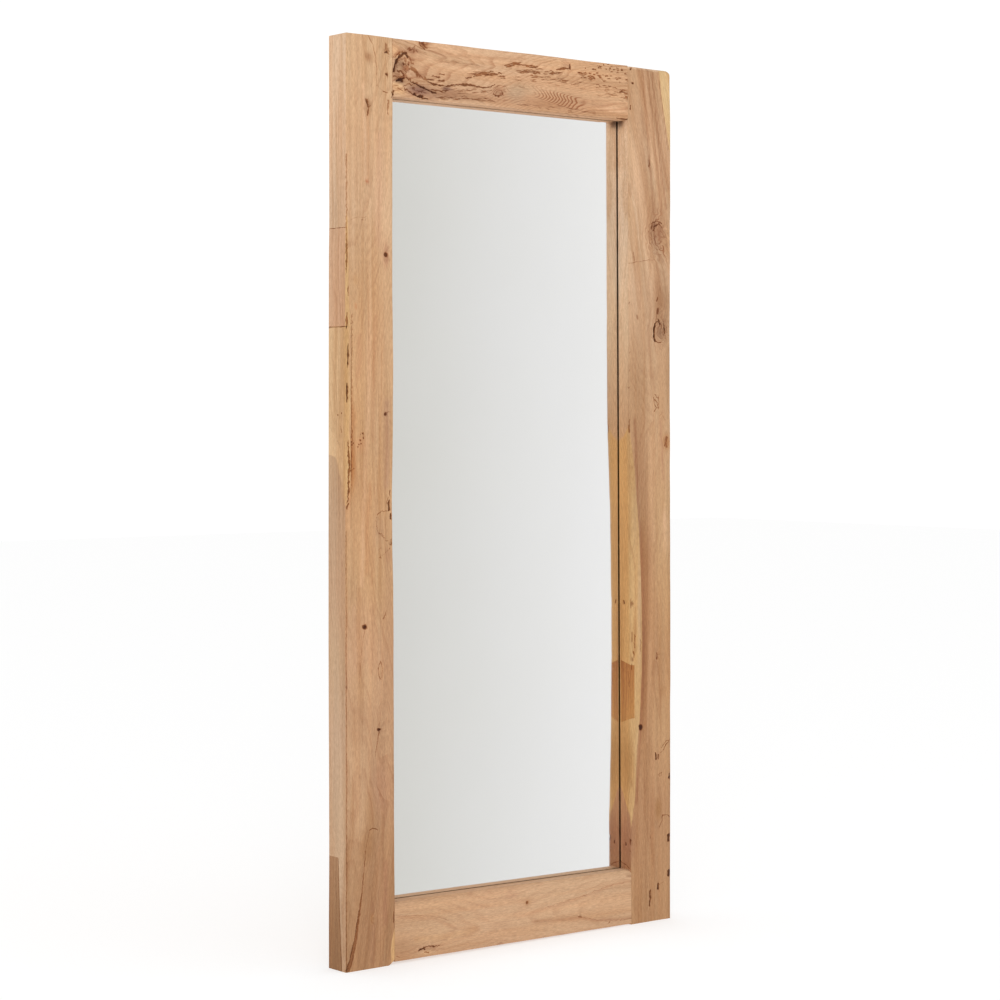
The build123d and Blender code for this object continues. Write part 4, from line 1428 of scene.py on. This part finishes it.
def top_rail() -> Board:
    """The top rail: a burr at its left end, open fissures along its length and a painted shadow
    line along its lower edge at the right end.
    """
    knots = (
        Knot((126, 1650), (30, 30), 2.2, 0.0), Knot((178, 1694), (13, 8), 1.4, 0.15, 0.3),
        Knot((357, 1621), (17, 12), 3.0, 0.15, 0.2), Knot((528, 1684), (14, 9), 1.2, 0.2, 0.3),
        Knot((533, 1686), (4, 6), 0.5, 0.6, 0.4), Knot((396, 1618), (30, 16), 1.0, 0.0),
    )
    burr = (
        *grooves(
            (4.4, 5.6, 2, 0.92, 1, 109, 1640, 112, 1651, 117, 1660, 124, 1668, 131, 1673.5, 138,
            1674, 142, 1667), (2, 2.4, 0.8, 0.55, 0.8, 107, 1662, 117, 1670, 128, 1677),
            (4.6, 4.6, 1.2, 0.75, 1.6, 131, 1653), (5, 5, 1.2, 0.8, 1.6, 142, 1654),
            (3, 2, 0.8, 0.4, 2.4, 133, 1663, 138, 1658, 136, 1650),
            (2.4, 2, 0.8, 0.4, 2.4, 114, 1646, 122, 1652, 121, 1660),
            (2.6, 2.4, 1.2, 0.6, 1.4, 116, 1640, 126, 1640, 130, 1634, 138, 1630, 148, 1625),
            (2.6, 5, 0.8, 0.6, 1.4, 145, 1646, 156, 1643, 163, 1637),
            (5.5, 3, 0.8, 0.4, 1.6, 148, 1650, 158, 1645, 168, 1636, 176, 1632, 186, 1630),
            (1.8, 1.6, 0.8, 0.42, 1.6, 133, 1645, 139, 1641, 137, 1636),
            (3, 2.4, 0.8, 0.5, 1.2, 108, 1629, 120, 1630, 134, 1629),
            (3.4, 5, 2.4, 1, 1, 114, 1621, 121, 1623, 127, 1624),
            (3.4, 2.4, 2, 0.95, 0.6, 120, 1625.5, 133, 1627), (2.4, 2.2, 1.8, 0.86, 0.9, 147, 1623,
            160, 1619, 171, 1616, 181, 1612.5, 192, 1609, 206, 1606),
            (4, 4, 0.8, 0.46, 1.6, 154, 1622, 163, 1620),
            (2, 1.8, 1, 0.5, 1.4, 131, 1612, 140, 1618, 150, 1617),
            (2.4, 2.4, 1.2, 0.6, 1.4, 132, 1610, 146, 1603, 160, 1599),
            (2, 1.8, 1, 0.42, 2, 150, 1612, 166, 1606, 184, 1604),
            (3, 3, 1.6, 0.9, 1.2, 155, 1600, 160, 1598),
            (5.5, 5.5, 2.4, 1, 1.4, 165, 1597, 174, 1597),
            (2.6, 2.4, 1.6, 0.9, 0.8, 176, 1594, 187, 1594),
            (1.8, 1.6, 0.8, 0.5, 0.8, 109, 1614, 120, 1613),
            (2, 1.8, 0.8, 0.5, 0.8, 118, 1609, 129, 1605),
            (4, 4, 1.6, 0.9, 0.8, 106, 1596, 108, 1601),
            (2.4, 2, 1, 0.6, 0.8, 167, 1698, 171, 1690, 180, 1686),
            (6, 6, 0.8, 0.42, 1, 172, 1698, 184, 1690), (1.8, 2.2, 1.6, 0.74, 0.9, 187, 1625, 198,
            1623, 210, 1621.5, 224, 1620.5, 240, 1623, 262, 1626, 282, 1627, 300, 1627, 322, 1626,
            334, 1628, 347, 1634),
            (1.8, 2.2, 1.2, 0.62, 0.9, 196, 1613, 206, 1611, 221, 1611.5, 234, 1614),
            (2.6, 2.2, 1.2, 0.7, 0.6, 184, 1631, 201, 1630),
            (1.8, 2.6, 1.2, 0.66, 0.8, 197, 1637, 214, 1636),
            (1.6, 1.6, 1, 0.6, 0.6, 214, 1642, 226, 1642),
            (4, 2.6, 1.2, 0.62, 1.2, 214, 1630, 227, 1630),
        ),
        *grooves(
            (5, 6, 0.6, 0.44, 2.4, 138, 1680, 148, 1684, 158, 1683, 165, 1677),
            (6, 5, 0.6, 0.42, 3, 143, 1670, 147, 1660, 156, 1652),
            (3.6, 4, 1.8, 0.82, 1.2, 164, 1617, 180, 1612),
            (3.4, 3.4, 1.6, 0.8, 0.8, 196, 1622.5, 222, 1620.5),
            (3.6, 3.6, 1.4, 0.72, 0.9, 262, 1627, 300, 1628), taper=True,
        ),
    )
    fissures = (
        *grooves((4, 4, 1.6, 0.66, 0.8, 498, 1676, 516, 1679, 532, 1681), taper=True),
        *grooves(
            (3.6, 3.4, 1.4, 0.78, 0.8, 534, 1688, 534, 1680),
            (2.2, 2, 1, 0.7, 1.4, 343, 1616, 352, 1612, 358, 1615),
            (1.8, 1.6, 1, 0.6, 1.4, 360, 1612, 366, 1618, 362, 1624),
            (1.2, 1, 0.4, 0.4, 1, 345, 1627, 358, 1633, 372, 1632, 382, 1624),
            (2.6, 2.2, 0.9, 0.75, 0.8, 664, 1646, 681, 1646),
            # The next row is a painted shadow line along the lower edge at the right end, cut in as
            # a shallow groove.
            (2, 3.4, 0.8, 0.9, 0.4, 655, 1593.5, 683, 1592.5),
        ),
        *scatter(
            (((274, 1640), (300, 1648), (330, 1652)), 18, 3.2, (8, 24), (1.1, 2), 52, 0.2, 0.7,
            1.6), (((318, 1651), (345, 1652), (374, 1650)), 12, 2.8, (10, 26), (1.3, 2.4), 65, 0,
            0.76, 1.6), (((362, 1667), (376, 1673), (395, 1676)), 9, 2.4, (8, 22), (1.3, 2.4), 53,
            0.22, 0.72, 1.6), (((388, 1676), (410, 1676), (436, 1676)), 8, 2.2, (10, 28),
            (1.3, 2.6), 66, 0.03, 0.76, 1.6), (((396, 1664), (440, 1666), (480, 1667), (500, 1672)),
            28, 2.2, (6, 22), (1.1, 1.9), 54, 0.06, 0.7, 1.3),
            (((430, 1655), (470, 1658), (520, 1656)), 16, 3, (6, 20), (1, 1.6), 67, 0.04, 0.5),
            (((542, 1672), (566, 1670), (596, 1668)), 16, 2.2, (5, 16), (1.4, 2.4), 55, -0.1, 0.66,
            1.3),
            (((390, 1644), (460, 1650), (560, 1652)), 20, 4, (8, 26), (0.9, 1.5), 56, 0.06, 0.42),
            (((208, 1612), (270, 1616), (340, 1618)), 16, 4, (10, 26), (0.9, 1.6), 57, 0.1, 0.45),
            (((200, 1598), (260, 1600), (330, 1601)), 16, 2.6, (12, 34), (1, 1.7), 59, 0.03, 0.5),
            (((590, 1680), (630, 1690), (676, 1688)), 30, 5, (2, 7), (1.4, 2.6), 60, 0.1, 0.7, 1.4),
            (((570, 1676), (620, 1671), (682, 1668)), 22, 4, (3, 10), (1.3, 2.2), 61, 0, 0.6, 1.4),
            (((600, 1652), (640, 1650), (682, 1646)), 22, 5, (4, 14), (1.1, 2), 62, -0.05, 0.55),
            (((600, 1636), (682, 1632)), 12, 3, (6, 22), (0.9, 1.5), 63, 0, 0.42),
            (((380, 1601), (450, 1600), (600, 1598)), 16, 2.5, (8, 26), (0.9, 1.4), 64, 0, 0.35),
            (((210, 1672), (260, 1662), (320, 1660)), 6, 4, (16, 34), (0.9, 1.3), 68, -0.05, 0.3),
        ),
    )
    tones = stains(
        (430, 1611, 330, 15, 190, 145, 110, 0.7), (150, 1642, 54, 46, 196, 150, 112, 0.4),
        (124, 1653, 12, 13, 158, 120, 88, 0.85), (113, 1646, 6, 14, 130, 92, 70, 0.5),
        (151, 1680, 15, 7, 164, 110, 76, 0.8), (150, 1662, 9, 12, 172, 124, 88, 0.6),
        (112, 1680, 10, 12, 216, 168, 122, 0.6), (138, 1650, 7, 5, 214, 176, 140, 0.7),
        (149, 1635, 11, 7, 212, 170, 136, 0.7), (150, 1637, 4, 3, 180, 132, 100, 0.7),
        (142, 1641, 3, 3, 166, 120, 92, 0.6), (156, 1631, 4, 3, 222, 184, 150, 0.5),
        (167, 1607, 30, 11, 138, 96, 78, 0.9), (122, 1621, 10, 6, 84, 54, 44, 0.7),
        (126, 1629, 18, 4, 176, 120, 74, 0.6), (116, 1613, 14, 6, 228, 186, 138, 0.7),
        (120, 1602, 16, 6, 220, 176, 128, 0.6), (232, 1616, 12, 4, 126, 88, 82, 0.7),
        (250, 1602, 60, 7, 166, 122, 90, 0.5), (200, 1600, 20, 9, 156, 112, 84, 0.6),
        (215, 1632, 110, 11, 184, 136, 98, 0.5), (240, 1608, 30, 8, 162, 114, 82, 0.6),
        (480, 1606, 60, 8, 178, 130, 92, 0.6), (116, 1634, 12, 6, 170, 124, 90, 0.6),
        (330, 1649, 52, 6, 196, 146, 104, 0.5), (403, 1675, 42, 6, 194, 142, 98, 0.5),
        (412, 1634, 34, 12, 168, 136, 104, 0.42), (398, 1618, 22, 16, 176, 146, 116, 0.5),
        (357, 1620, 20, 14, 176, 130, 96, 0.6), (505, 1620, 66, 15, 186, 140, 102, 0.6),
        (240, 1685, 70, 12, 220, 178, 140, 0.4), (560, 1684, 120, 14, 210, 162, 118, 0.4),
        (320, 1668, 110, 14, 216, 174, 136, 0.4), (652, 1610, 36, 14, 222, 180, 142, 0.75),
        (524, 1690, 10, 8, 190, 140, 108, 0.5), (177, 1693, 12, 8, 160, 106, 62, 0.85),
        (195, 1668, 24, 20, 216, 175, 136, 0.4),
    )
    streaks = veins(
        (7, 184, 136, 98, 0.6, 190, 1684, 260, 1680, 340, 1684, 420, 1690),
        (6, 190, 142, 104, 0.5, 200, 1668, 270, 1662, 340, 1664),
        (6, 196, 146, 104, 0.5, 440, 1688, 520, 1690, 600, 1694),
        (8, 220, 178, 140, 0.5, 210, 1650, 280, 1656, 350, 1664),
        (6, 220, 178, 140, 0.5, 400, 1658, 480, 1662, 560, 1664),
        (6, 192, 146, 106, 0.5, 580, 1606, 640, 1602, 690, 1600),
        (6, 192, 146, 108, 0.5, 570, 1622, 630, 1622, 685, 1620),
        (5, 176, 132, 98, 0.5, 250, 1610, 300, 1608, 340, 1606),
    )
    return Board(
        "top_rail", "top_rail_teak", WoodFinish("Top rail teak", 0.46, 0.7, 0.9),
        ((0, 1592), (800, 1592)), ((0, 1700), (800, 1700)), ((100, (204, 163, 126)),
        (250, (210, 169, 132)), (420, (209, 167, 130)), (600, (205, 161, 122)),
        (700, (205, 162, 123))), upright=False, pith=((100, 1655, 60), (200, 1665, 75),
        (330, 1700, 90), (450, 1760, 90), (600, 1800, 100), (700, 1810, 100)), ring_width=5.0,
        drift=0.7, seed=14, boost=0.25, cracks=(*burr, *fissures), knots=knots, stains=tones,
        lean=((100, -34), (150, -22), (220, -8), (330, 0), (700, 0)), veins=streaks,
        feathers=(Feather((494, 1620), (80, 15), 8.0, 1.0),), pitch=(3.0, 3.6),
        fineness=((2.6, 2.2), (1.0, 1.3)),
    )


def bottom_rail() -> Board:
    """The bottom rail: smooth, with two cathedral figures that face away from each other."""
    knots = (
        Knot((190, 18), (30, 9), 1.6, 0.25, 0.3), Knot((560, 34), (6, 4), 0.8, 0.3),
        Knot((360, 6), (10, 5), 0.8, 0.3), Knot((683, 95), (5, 4), 0.8, 0.35),
    )
    cracks = grooves(
        (3.6, 4, 1.4, 1, 0.8, 167, 19, 174, 20, 180, 19),
        (3.4, 1.8, 0.8, 0.72, 0.8, 177, 22, 190, 24, 200, 22, 214, 22),
        (1.8, 1.4, 0.6, 0.5, 0.8, 180, 14, 190, 12), (5, 4, 0.6, 0.6, 0.8, 426, 76),
        (1.6, 1.4, 0.5, 0.6, 0.8, 115, 14, 122, 12), (2.2, 1.6, 0.5, 0.5, 0.8, 556, 33, 564, 31),
        (2.4, 2, 0.5, 0.5, 0.8, 634, 11, 638, 13),
        (1, 0.7, 0.2, 0.3, 0.8, 118, 88, 160, 84, 200, 78, 232, 68, 258, 56),
        (0.8, 1, 0.2, 0.32, 0.8, 470, 60, 515, 66, 560, 71, 630, 83, 690, 86),
        (0.8, 1, 0.2, 0.32, 0.8, 540, 38, 580, 26, 620, 17, 690, 12),
    )
    tones = stains(
        (427, 76, 9, 6, 172, 126, 76, 0.6), (388, 95, 16, 8, 186, 140, 108, 0.45),
        (425, 76, 20, 7, 188, 142, 108, 0.4), (190, 22, 44, 10, 184, 138, 102, 0.5),
        (184, 13, 12, 4, 218, 176, 130, 0.7), (600, 50, 90, 26, 206, 164, 126, 0.3),
        (122, 26, 44, 24, 176, 131, 93, 0.75), (400, 5, 300, 5, 190, 144, 108, 0.4),
    )
    streaks = veins(
        (6, 184, 134, 98, 0.4, 114, 86, 154, 82, 207, 71, 236, 57, 261, 48, 310, 43),
        (6, 184, 136, 98, 0.4, 114, 16, 200, 21, 260, 29, 310, 38),
        (6, 184, 134, 98, 0.42, 689, 86, 636, 84, 600, 76, 546, 66, 457, 57, 400, 50),
        (6, 176, 126, 90, 0.55, 686, 13, 636, 16, 600, 20, 560, 30, 520, 32, 440, 38),
        (12, 190, 142, 98, 0.5, 160, 40, 240, 36, 300, 42),
    )
    return Board(
        "bottom_rail", "bottom_rail_teak", WoodFinish("Bottom rail teak", 0.24, 0.42, 0.5),
        ((0, 4), (800, 3)), ((100, 114), (700, 108)), ((100, (194, 154, 118)),
        (200, (198, 158, 121)), (330, (199, 158, 122)), (500, (199, 160, 124)),
        (700, (198, 159, 123))), upright=False, pith=((100, 60, 30), (200, 56, 44), (290, 52, 62),
        (350, 50, 72), (420, 50, 66), (520, 50, 48), (620, 50, 34), (700, 50, 30)), ring_width=8.5,
        drift=0.45, seed=23, cracks=cracks, knots=knots, stains=tones, veins=streaks,
        pitch=(4.0, 5.0),
    )


def patches() -> tuple[Board, ...]:
    """The four reclaimed-wood pieces let into the stiles."""
    # Each patch's front and side colour stops hold the wood's tone plus painted shade, darker
    # towards the bottom.
    foot = Board(
        "left_foot_patch", "foot_patch_teak", WoodFinish("Foot patch teak", 0.5, 0.6, 0.7),
        LEFT_OUTER, LEFT_INNER, ((0, (160, 116, 77)), (205, (176, 131, 92))), ring_width=4.5,
        drift=1.0, seed=31, pith=((0, 40, 120), (300, 40, 100)),
        side_tone_and_shade_stops=((0, (146, 105, 68)), (110, (158, 116, 78)), (205, (166, 124, 88))),
        cracks=grooves((1, 0.8, 0.3, 0.35, 0.8, 28, 60, 30, 120, 34, 180),
        (1.2, 1, 0.4, 0.5, 0.3, 14, 2, 18, 60, 24, 140, 25, 204), face=Face.OUTER),
        stains=stains((40, 40, 20, 60, 146, 102, 64, 0.5), face=Face.OUTER),
    )
    corner = Board(
        "left_corner_patch", "corner_patch_sapwood",
        WoodFinish("Corner patch sapwood", 0.3, 0.7, 0.6, 6.0), LEFT_OUTER, LEFT_INNER,
        ((800, (197, 154, 113)), (970, (196, 152, 111)), (1168, (203, 159, 118))),
        side_tone_and_shade_stops=LEFT_SIDE_TONE_AND_SHADE, ring_width=5.0, drift=1.0, seed=3,
        pith=((800, -60, 60), (1170, -80, 90)), cracks=(*LEFT_RAGGED_EDGE,
        *grooves((3, 3, 1, 0.7, 0.8, 25, 1008), (3, 3, 1, 0.7, 0.8, 14, 1011),
        (2.2, 1.8, 0.8, 0.6, 0.8, 13, 978, 18, 988),
        (1.2, 1.2, 0.4, 0.7, 0.2, 1, 1167.4, 54, 1167.4), face=Face.OUTER)),
        stains=(*stains((10, 905, 12, 60, 176, 118, 66, 0.6)),
        *stains((8, 900, 10, 50, 186, 138, 96, 0.5), (30, 915, 60, 50, 202, 165, 126, 0.7),
        face=Face.OUTER)), sapwood=(LEFT_EDGE_SAP,),
    )
    side = Board(
        "left_side_patch", "side_patch_teak", WoodFinish("Side patch teak", 0.4, 0.5, 0.5),
        LEFT_OUTER, LEFT_INNER, ((1168, (200, 156, 120)), (1348, (204, 161, 122))),
        side_tone_and_shade_stops=((1168, (203, 160, 125)), (1348, (207, 167, 133))), ring_width=5.5, drift=1.2,
        seed=37, pith=((1100, 80, 40), (1400, 60, 90)), cracks=(*LEFT_RAGGED_EDGE,
        *grooves((1.2, 1.2, 0.4, 0.7, 0.2, 1, 1347.4, 54, 1347.4),
        (1, 1, 0.3, 0.5, 0.2, 1, 1168.6, 54, 1168.6), face=Face.OUTER)), sapwood=(LEFT_EDGE_SAP,),
    )
    inner = Board(
        "right_inner_patch", "inner_patch_teak", WoodFinish("Inner patch teak", 0.6, 0.9, 0.9),
        RIGHT_INNER, RIGHT_OUTER, ((398, (178, 124, 68)), (522, (162, 104, 54))), ring_width=4.0,
        drift=1.0, seed=41, pith=((300, 640, 60), (600, 640, 60)), outer_is_high=True,
        cracks=(*grooves((2.4, 3.4, 1, 0.8, 0.8, 697, 505, 695, 516)),
        *grooves((1.2, 1, 0.3, 0.5, 0.8, 8, 470, 10, 500), face=Face.INNER)),
    )
    return foot, corner, side, inner


# ---- fittings ------------------------------------------------------------------------------------
@dataclass(frozen=True)
class Fittings:
    """Glass, silver, panel and hardware that keep their CAD shapes."""

    silver_overlap: float = 0.03

    def bond_silver(self, frame: dict, material: bpy.types.Material) -> None:
        """Sets the silvering a hair into the back of the glass, so that no gap shows.

        Args:
            material: The silver.
        """
        bm = bmesh.new()
        bm.from_mesh(frame["nodes"]["silver_backing"].data)
        bmesh.ops.remove_doubles(bm, verts=bm.verts[:], dist=MERGE_DISTANCE)
        bmesh.ops.translate(bm, verts=bm.verts[:], vec=(0, -self.silver_overlap * MM, 0))
        made = new_object("silver_bonded", bm)
        made.data.materials.append(material)
        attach(made, BODY)
        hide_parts("silver_backing")

    def dress(self, frame: dict, effects: Effects) -> None:
        """Gives every carried-over CAD node its finish.

        Args:
            effects: The shared node groups.
        """
        clear = PlainFinish("Clear glass", (254, 254, 253), (255, 255, 255), 3.0, (0.0, 0.0),
                            transmission=1.0)
        silver = PlainFinish("Mirror silver", (245, 245, 245), (246, 246, 246), 4.0, (0.0, 0.0),
                             metallic=1.0)
        foam = PlainFinish("Cushion foam", (34, 34, 35), (58, 58, 60), 900.0, (0.85, 0.98),
                           bump=0.6)
        hard = PlainFinish("Setting rubber", (38, 38, 38), (56, 55, 54), 400.0, (0.6, 0.8),
                           bump=0.3)
        soft = PlainFinish("Bumper rubber", (26, 26, 27), (46, 46, 47), 300.0, (0.55, 0.75),
                           bump=0.4)
        zinc = PlainFinish("Zinc strap", (150, 152, 154), (196, 198, 200), 260.0, (0.28, 0.5),
                           streak=0.7, metallic=1.0, bump=0.25)
        yellow_zinc = PlainFinish("Yellow zinc screw", (176, 160, 116), (208, 196, 158), 500.0,
                                  (0.25, 0.45), metallic=1.0, bump=0.15)
        bright = PlainFinish("Bright wire", (190, 192, 194), (222, 223, 224), 350.0, (0.12, 0.28),
                             streak=0.5, metallic=1.0, bump=0.1)
        plywood = CutSheetFinish("Panel plywood", (196, 158, 116), 0.55)
        beech = CutSheetFinish("Dowel beech", (214, 174, 128), 0.3, along_x=True, ring_pitch=0.004)
        wardrobe = {
            clear: ("mirror_glass",), foam: ("cushion_strips",),
            hard: ("setting_blocks",), soft: ("wall_bumpers",), plywood: ("backing_panel",),
            zinc: ("left_hanger_strap", "right_hanger_strap"),
            yellow_zinc: ("panel_screws", "left_hanger_screws", "right_hanger_screws"),
            bright: ("left_hanger_ring", "right_hanger_ring"),
            beech: ("top_left_dowels", "top_right_dowels", "bottom_left_dowels",
                    "bottom_right_dowels"),
        }
        self.bond_silver(frame, silver.make(effects))
        for finish, names in wardrobe.items():
            material = finish.make(effects)
            for name in names:
                data = frame["nodes"][name].data
                data.materials.clear()
                data.materials.append(material)
                log.info("%s: %s", name, finish.name)


# ---- studio --------------------------------------------------------------------------------------
@dataclass(frozen=True)
class Studio:
    """Pale floor, white surroundings, soft lights and the camera."""

    camera_place: tuple[float, float, float] = (-3.0533, -3.7444, 0.999)
    camera_turn: float = 39.05
    lens: float = 90.8
    shift: float = -0.0801
    floor_size: float = 30.0
    floor_glow: float = 0.512
    room_light: float = 0.86
    reflected: tuple[Point, ...] = (
        (30.0, 0.66), (36.4, 0.70), (39.05, 0.812), (41.7, 0.915), (50.0, 1.0))

    def build(self) -> None:
        """Makes the whole studio."""
        self._camera()
        self._world()
        self._floor()
        self._lamp("Key light", (-4.9, -6.2, 3.6), 3.2, 130.0)
        bounce = self._lamp("Mirror bounce", (-0.001, -0.0012, 0.8515), 0.6, 2.2)
        bounce.data.shape = "RECTANGLE"
        bounce.data.size_y = 1.49
        bounce.rotation_euler = (-math.pi / 2, 0, 0)
        view = bpy.context.scene.view_settings
        view.view_transform = "Standard"
        view.look = "None"

    def _camera(self) -> None:
        """Level camera at the left front."""
        data = bpy.data.cameras.new("Camera")
        data.lens = self.lens
        data.sensor_width = 36.0
        data.shift_y = self.shift
        data.clip_end = 100.0
        made = bpy.data.objects.new("Camera", data)
        made.location = self.camera_place
        made.rotation_euler = (math.pi / 2, 0, -math.radians(self.camera_turn))
        bpy.context.scene.collection.objects.link(made)
        bpy.context.scene.camera = made

    def _world(self) -> None:
        """White surroundings whose reflection shades off towards one side."""
        world = bpy.data.worlds.new("Studio")
        world.use_nodes = True
        world.node_tree.nodes.clear()
        w = Wiring(world.node_tree)
        way = w.node("SeparateXYZ", {0: w.node("TexCoord").outputs["Generated"]})
        turn = w.sum("ARCTAN2", way.outputs[0], w.sum("MULTIPLY", way.outputs[1], -1.0))
        turn_share = w.node("MapRange", {"Value": turn, 1: 0.0, 2: math.pi / 2})
        ramp = w.node("ValToRGB", {0: turn_share.outputs[0]})
        stops = ramp.color_ramp.elements
        while len(stops) < len(self.reflected):
            stops.new(0.5)
        for stop, (angle, light) in zip(stops, self.reflected):
            stop.position = angle / 90
            warm = min(max(0.0, 0.885 - light) * 0.22, 0.04)
            stop.color = (light, light - 0.15 * warm, light - warm, 1.0)
        rays = w.node("LightPath")
        seen = w.node("Background", {"Color": (1.0, 1.0, 1.0, 1.0), "Strength": 1.05})
        lit = w.node("Background", {"Color": (1.0, 1.0, 1.0, 1.0), "Strength": self.room_light})
        shown = w.node("Background", {"Color": ramp.outputs[0], "Strength": 1.0})
        either = w.node("MixShader", {0: rays.outputs["Is Diffuse Ray"], 1: shown.outputs[0],
                                      2: lit.outputs[0]})
        every = w.node("MixShader", {0: rays.outputs["Is Camera Ray"], 1: either.outputs[0],
                                     2: seen.outputs[0]})
        w.node("OutputWorld", {"Surface": every.outputs[0]})
        bpy.context.scene.world = world

    def _floor(self) -> None:
        """White floor that the mirror's reflection looks past."""
        bm = bmesh.new()
        bmesh.ops.create_grid(bm, x_segments=1, y_segments=1, size=self.floor_size / 2)
        floor = new_object("Floor", bm)
        made, w, shader = start_material("Floor paint")
        w.feed(shader, {
            "Base Color": (0.55, 0.55, 0.55, 1.0), "Roughness": 1.0, "Specular IOR Level": 0.0,
            "Emission Color": (1.0, 1.0, 1.0, 1.0), "Emission Strength": self.floor_glow,
        })
        rays = w.node("LightPath").outputs
        solid = w.sum("ADD", rays["Is Camera Ray"], rays["Is Diffuse Ray"], clamp=True)
        clear = w.node("BsdfTransparent")
        both = w.node("MixShader", {0: solid, 1: clear.outputs[0], 2: shader.outputs[0]})
        exit_node = next(n for n in w.tree.nodes if n.type == "OUTPUT_MATERIAL")
        w.tree.links.new(both.outputs[0], exit_node.inputs["Surface"])
        floor.data.materials.append(made)
        floor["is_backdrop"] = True

    def _lamp(
        self, name: str, place: tuple[float, float, float], size: float, power: float
    ) -> bpy.types.Object:
        """Adds a square soft light that faces the middle of the mirror.

        Args:
            name: The light's name.
            place: Where it stands.
            size: Length of its side, in metres.
            power: Its power, in watts.

        Returns:
            The light.
        """
        data = bpy.data.lights.new(name, "AREA")
        data.size = size
        data.energy = power
        lamp = bpy.data.objects.new(name, data)
        lamp.location = place
        aim = Vector((0, 0, 0.9)) - Vector(place)
        lamp.rotation_euler = aim.to_track_quat("-Z", "Y").to_euler()
        lamp.visible_glossy = False
        lamp.visible_transmission = False
        bpy.context.scene.collection.objects.link(lamp)
        return lamp


def corners(bounds: Iterable[Vector]) -> list[list[float]]:
    """Two corners as plain lists of numbers."""
    return [[float(n) for n in corner] for corner in bounds]


def main() -> None:
    """Builds the mirror's looks and its studio."""
    logging.basicConfig(level=logging.INFO)
    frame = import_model()
    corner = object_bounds()[0]
    effects = Effects()
    for board in (left_stile(), right_stile(), top_rail(), bottom_rail(), *patches()):
        board.corner = corner.copy()
        board.build(frame, effects)
    Fittings().dress(frame, effects)
    Studio().build()


if __name__ == "__main__":
    main()
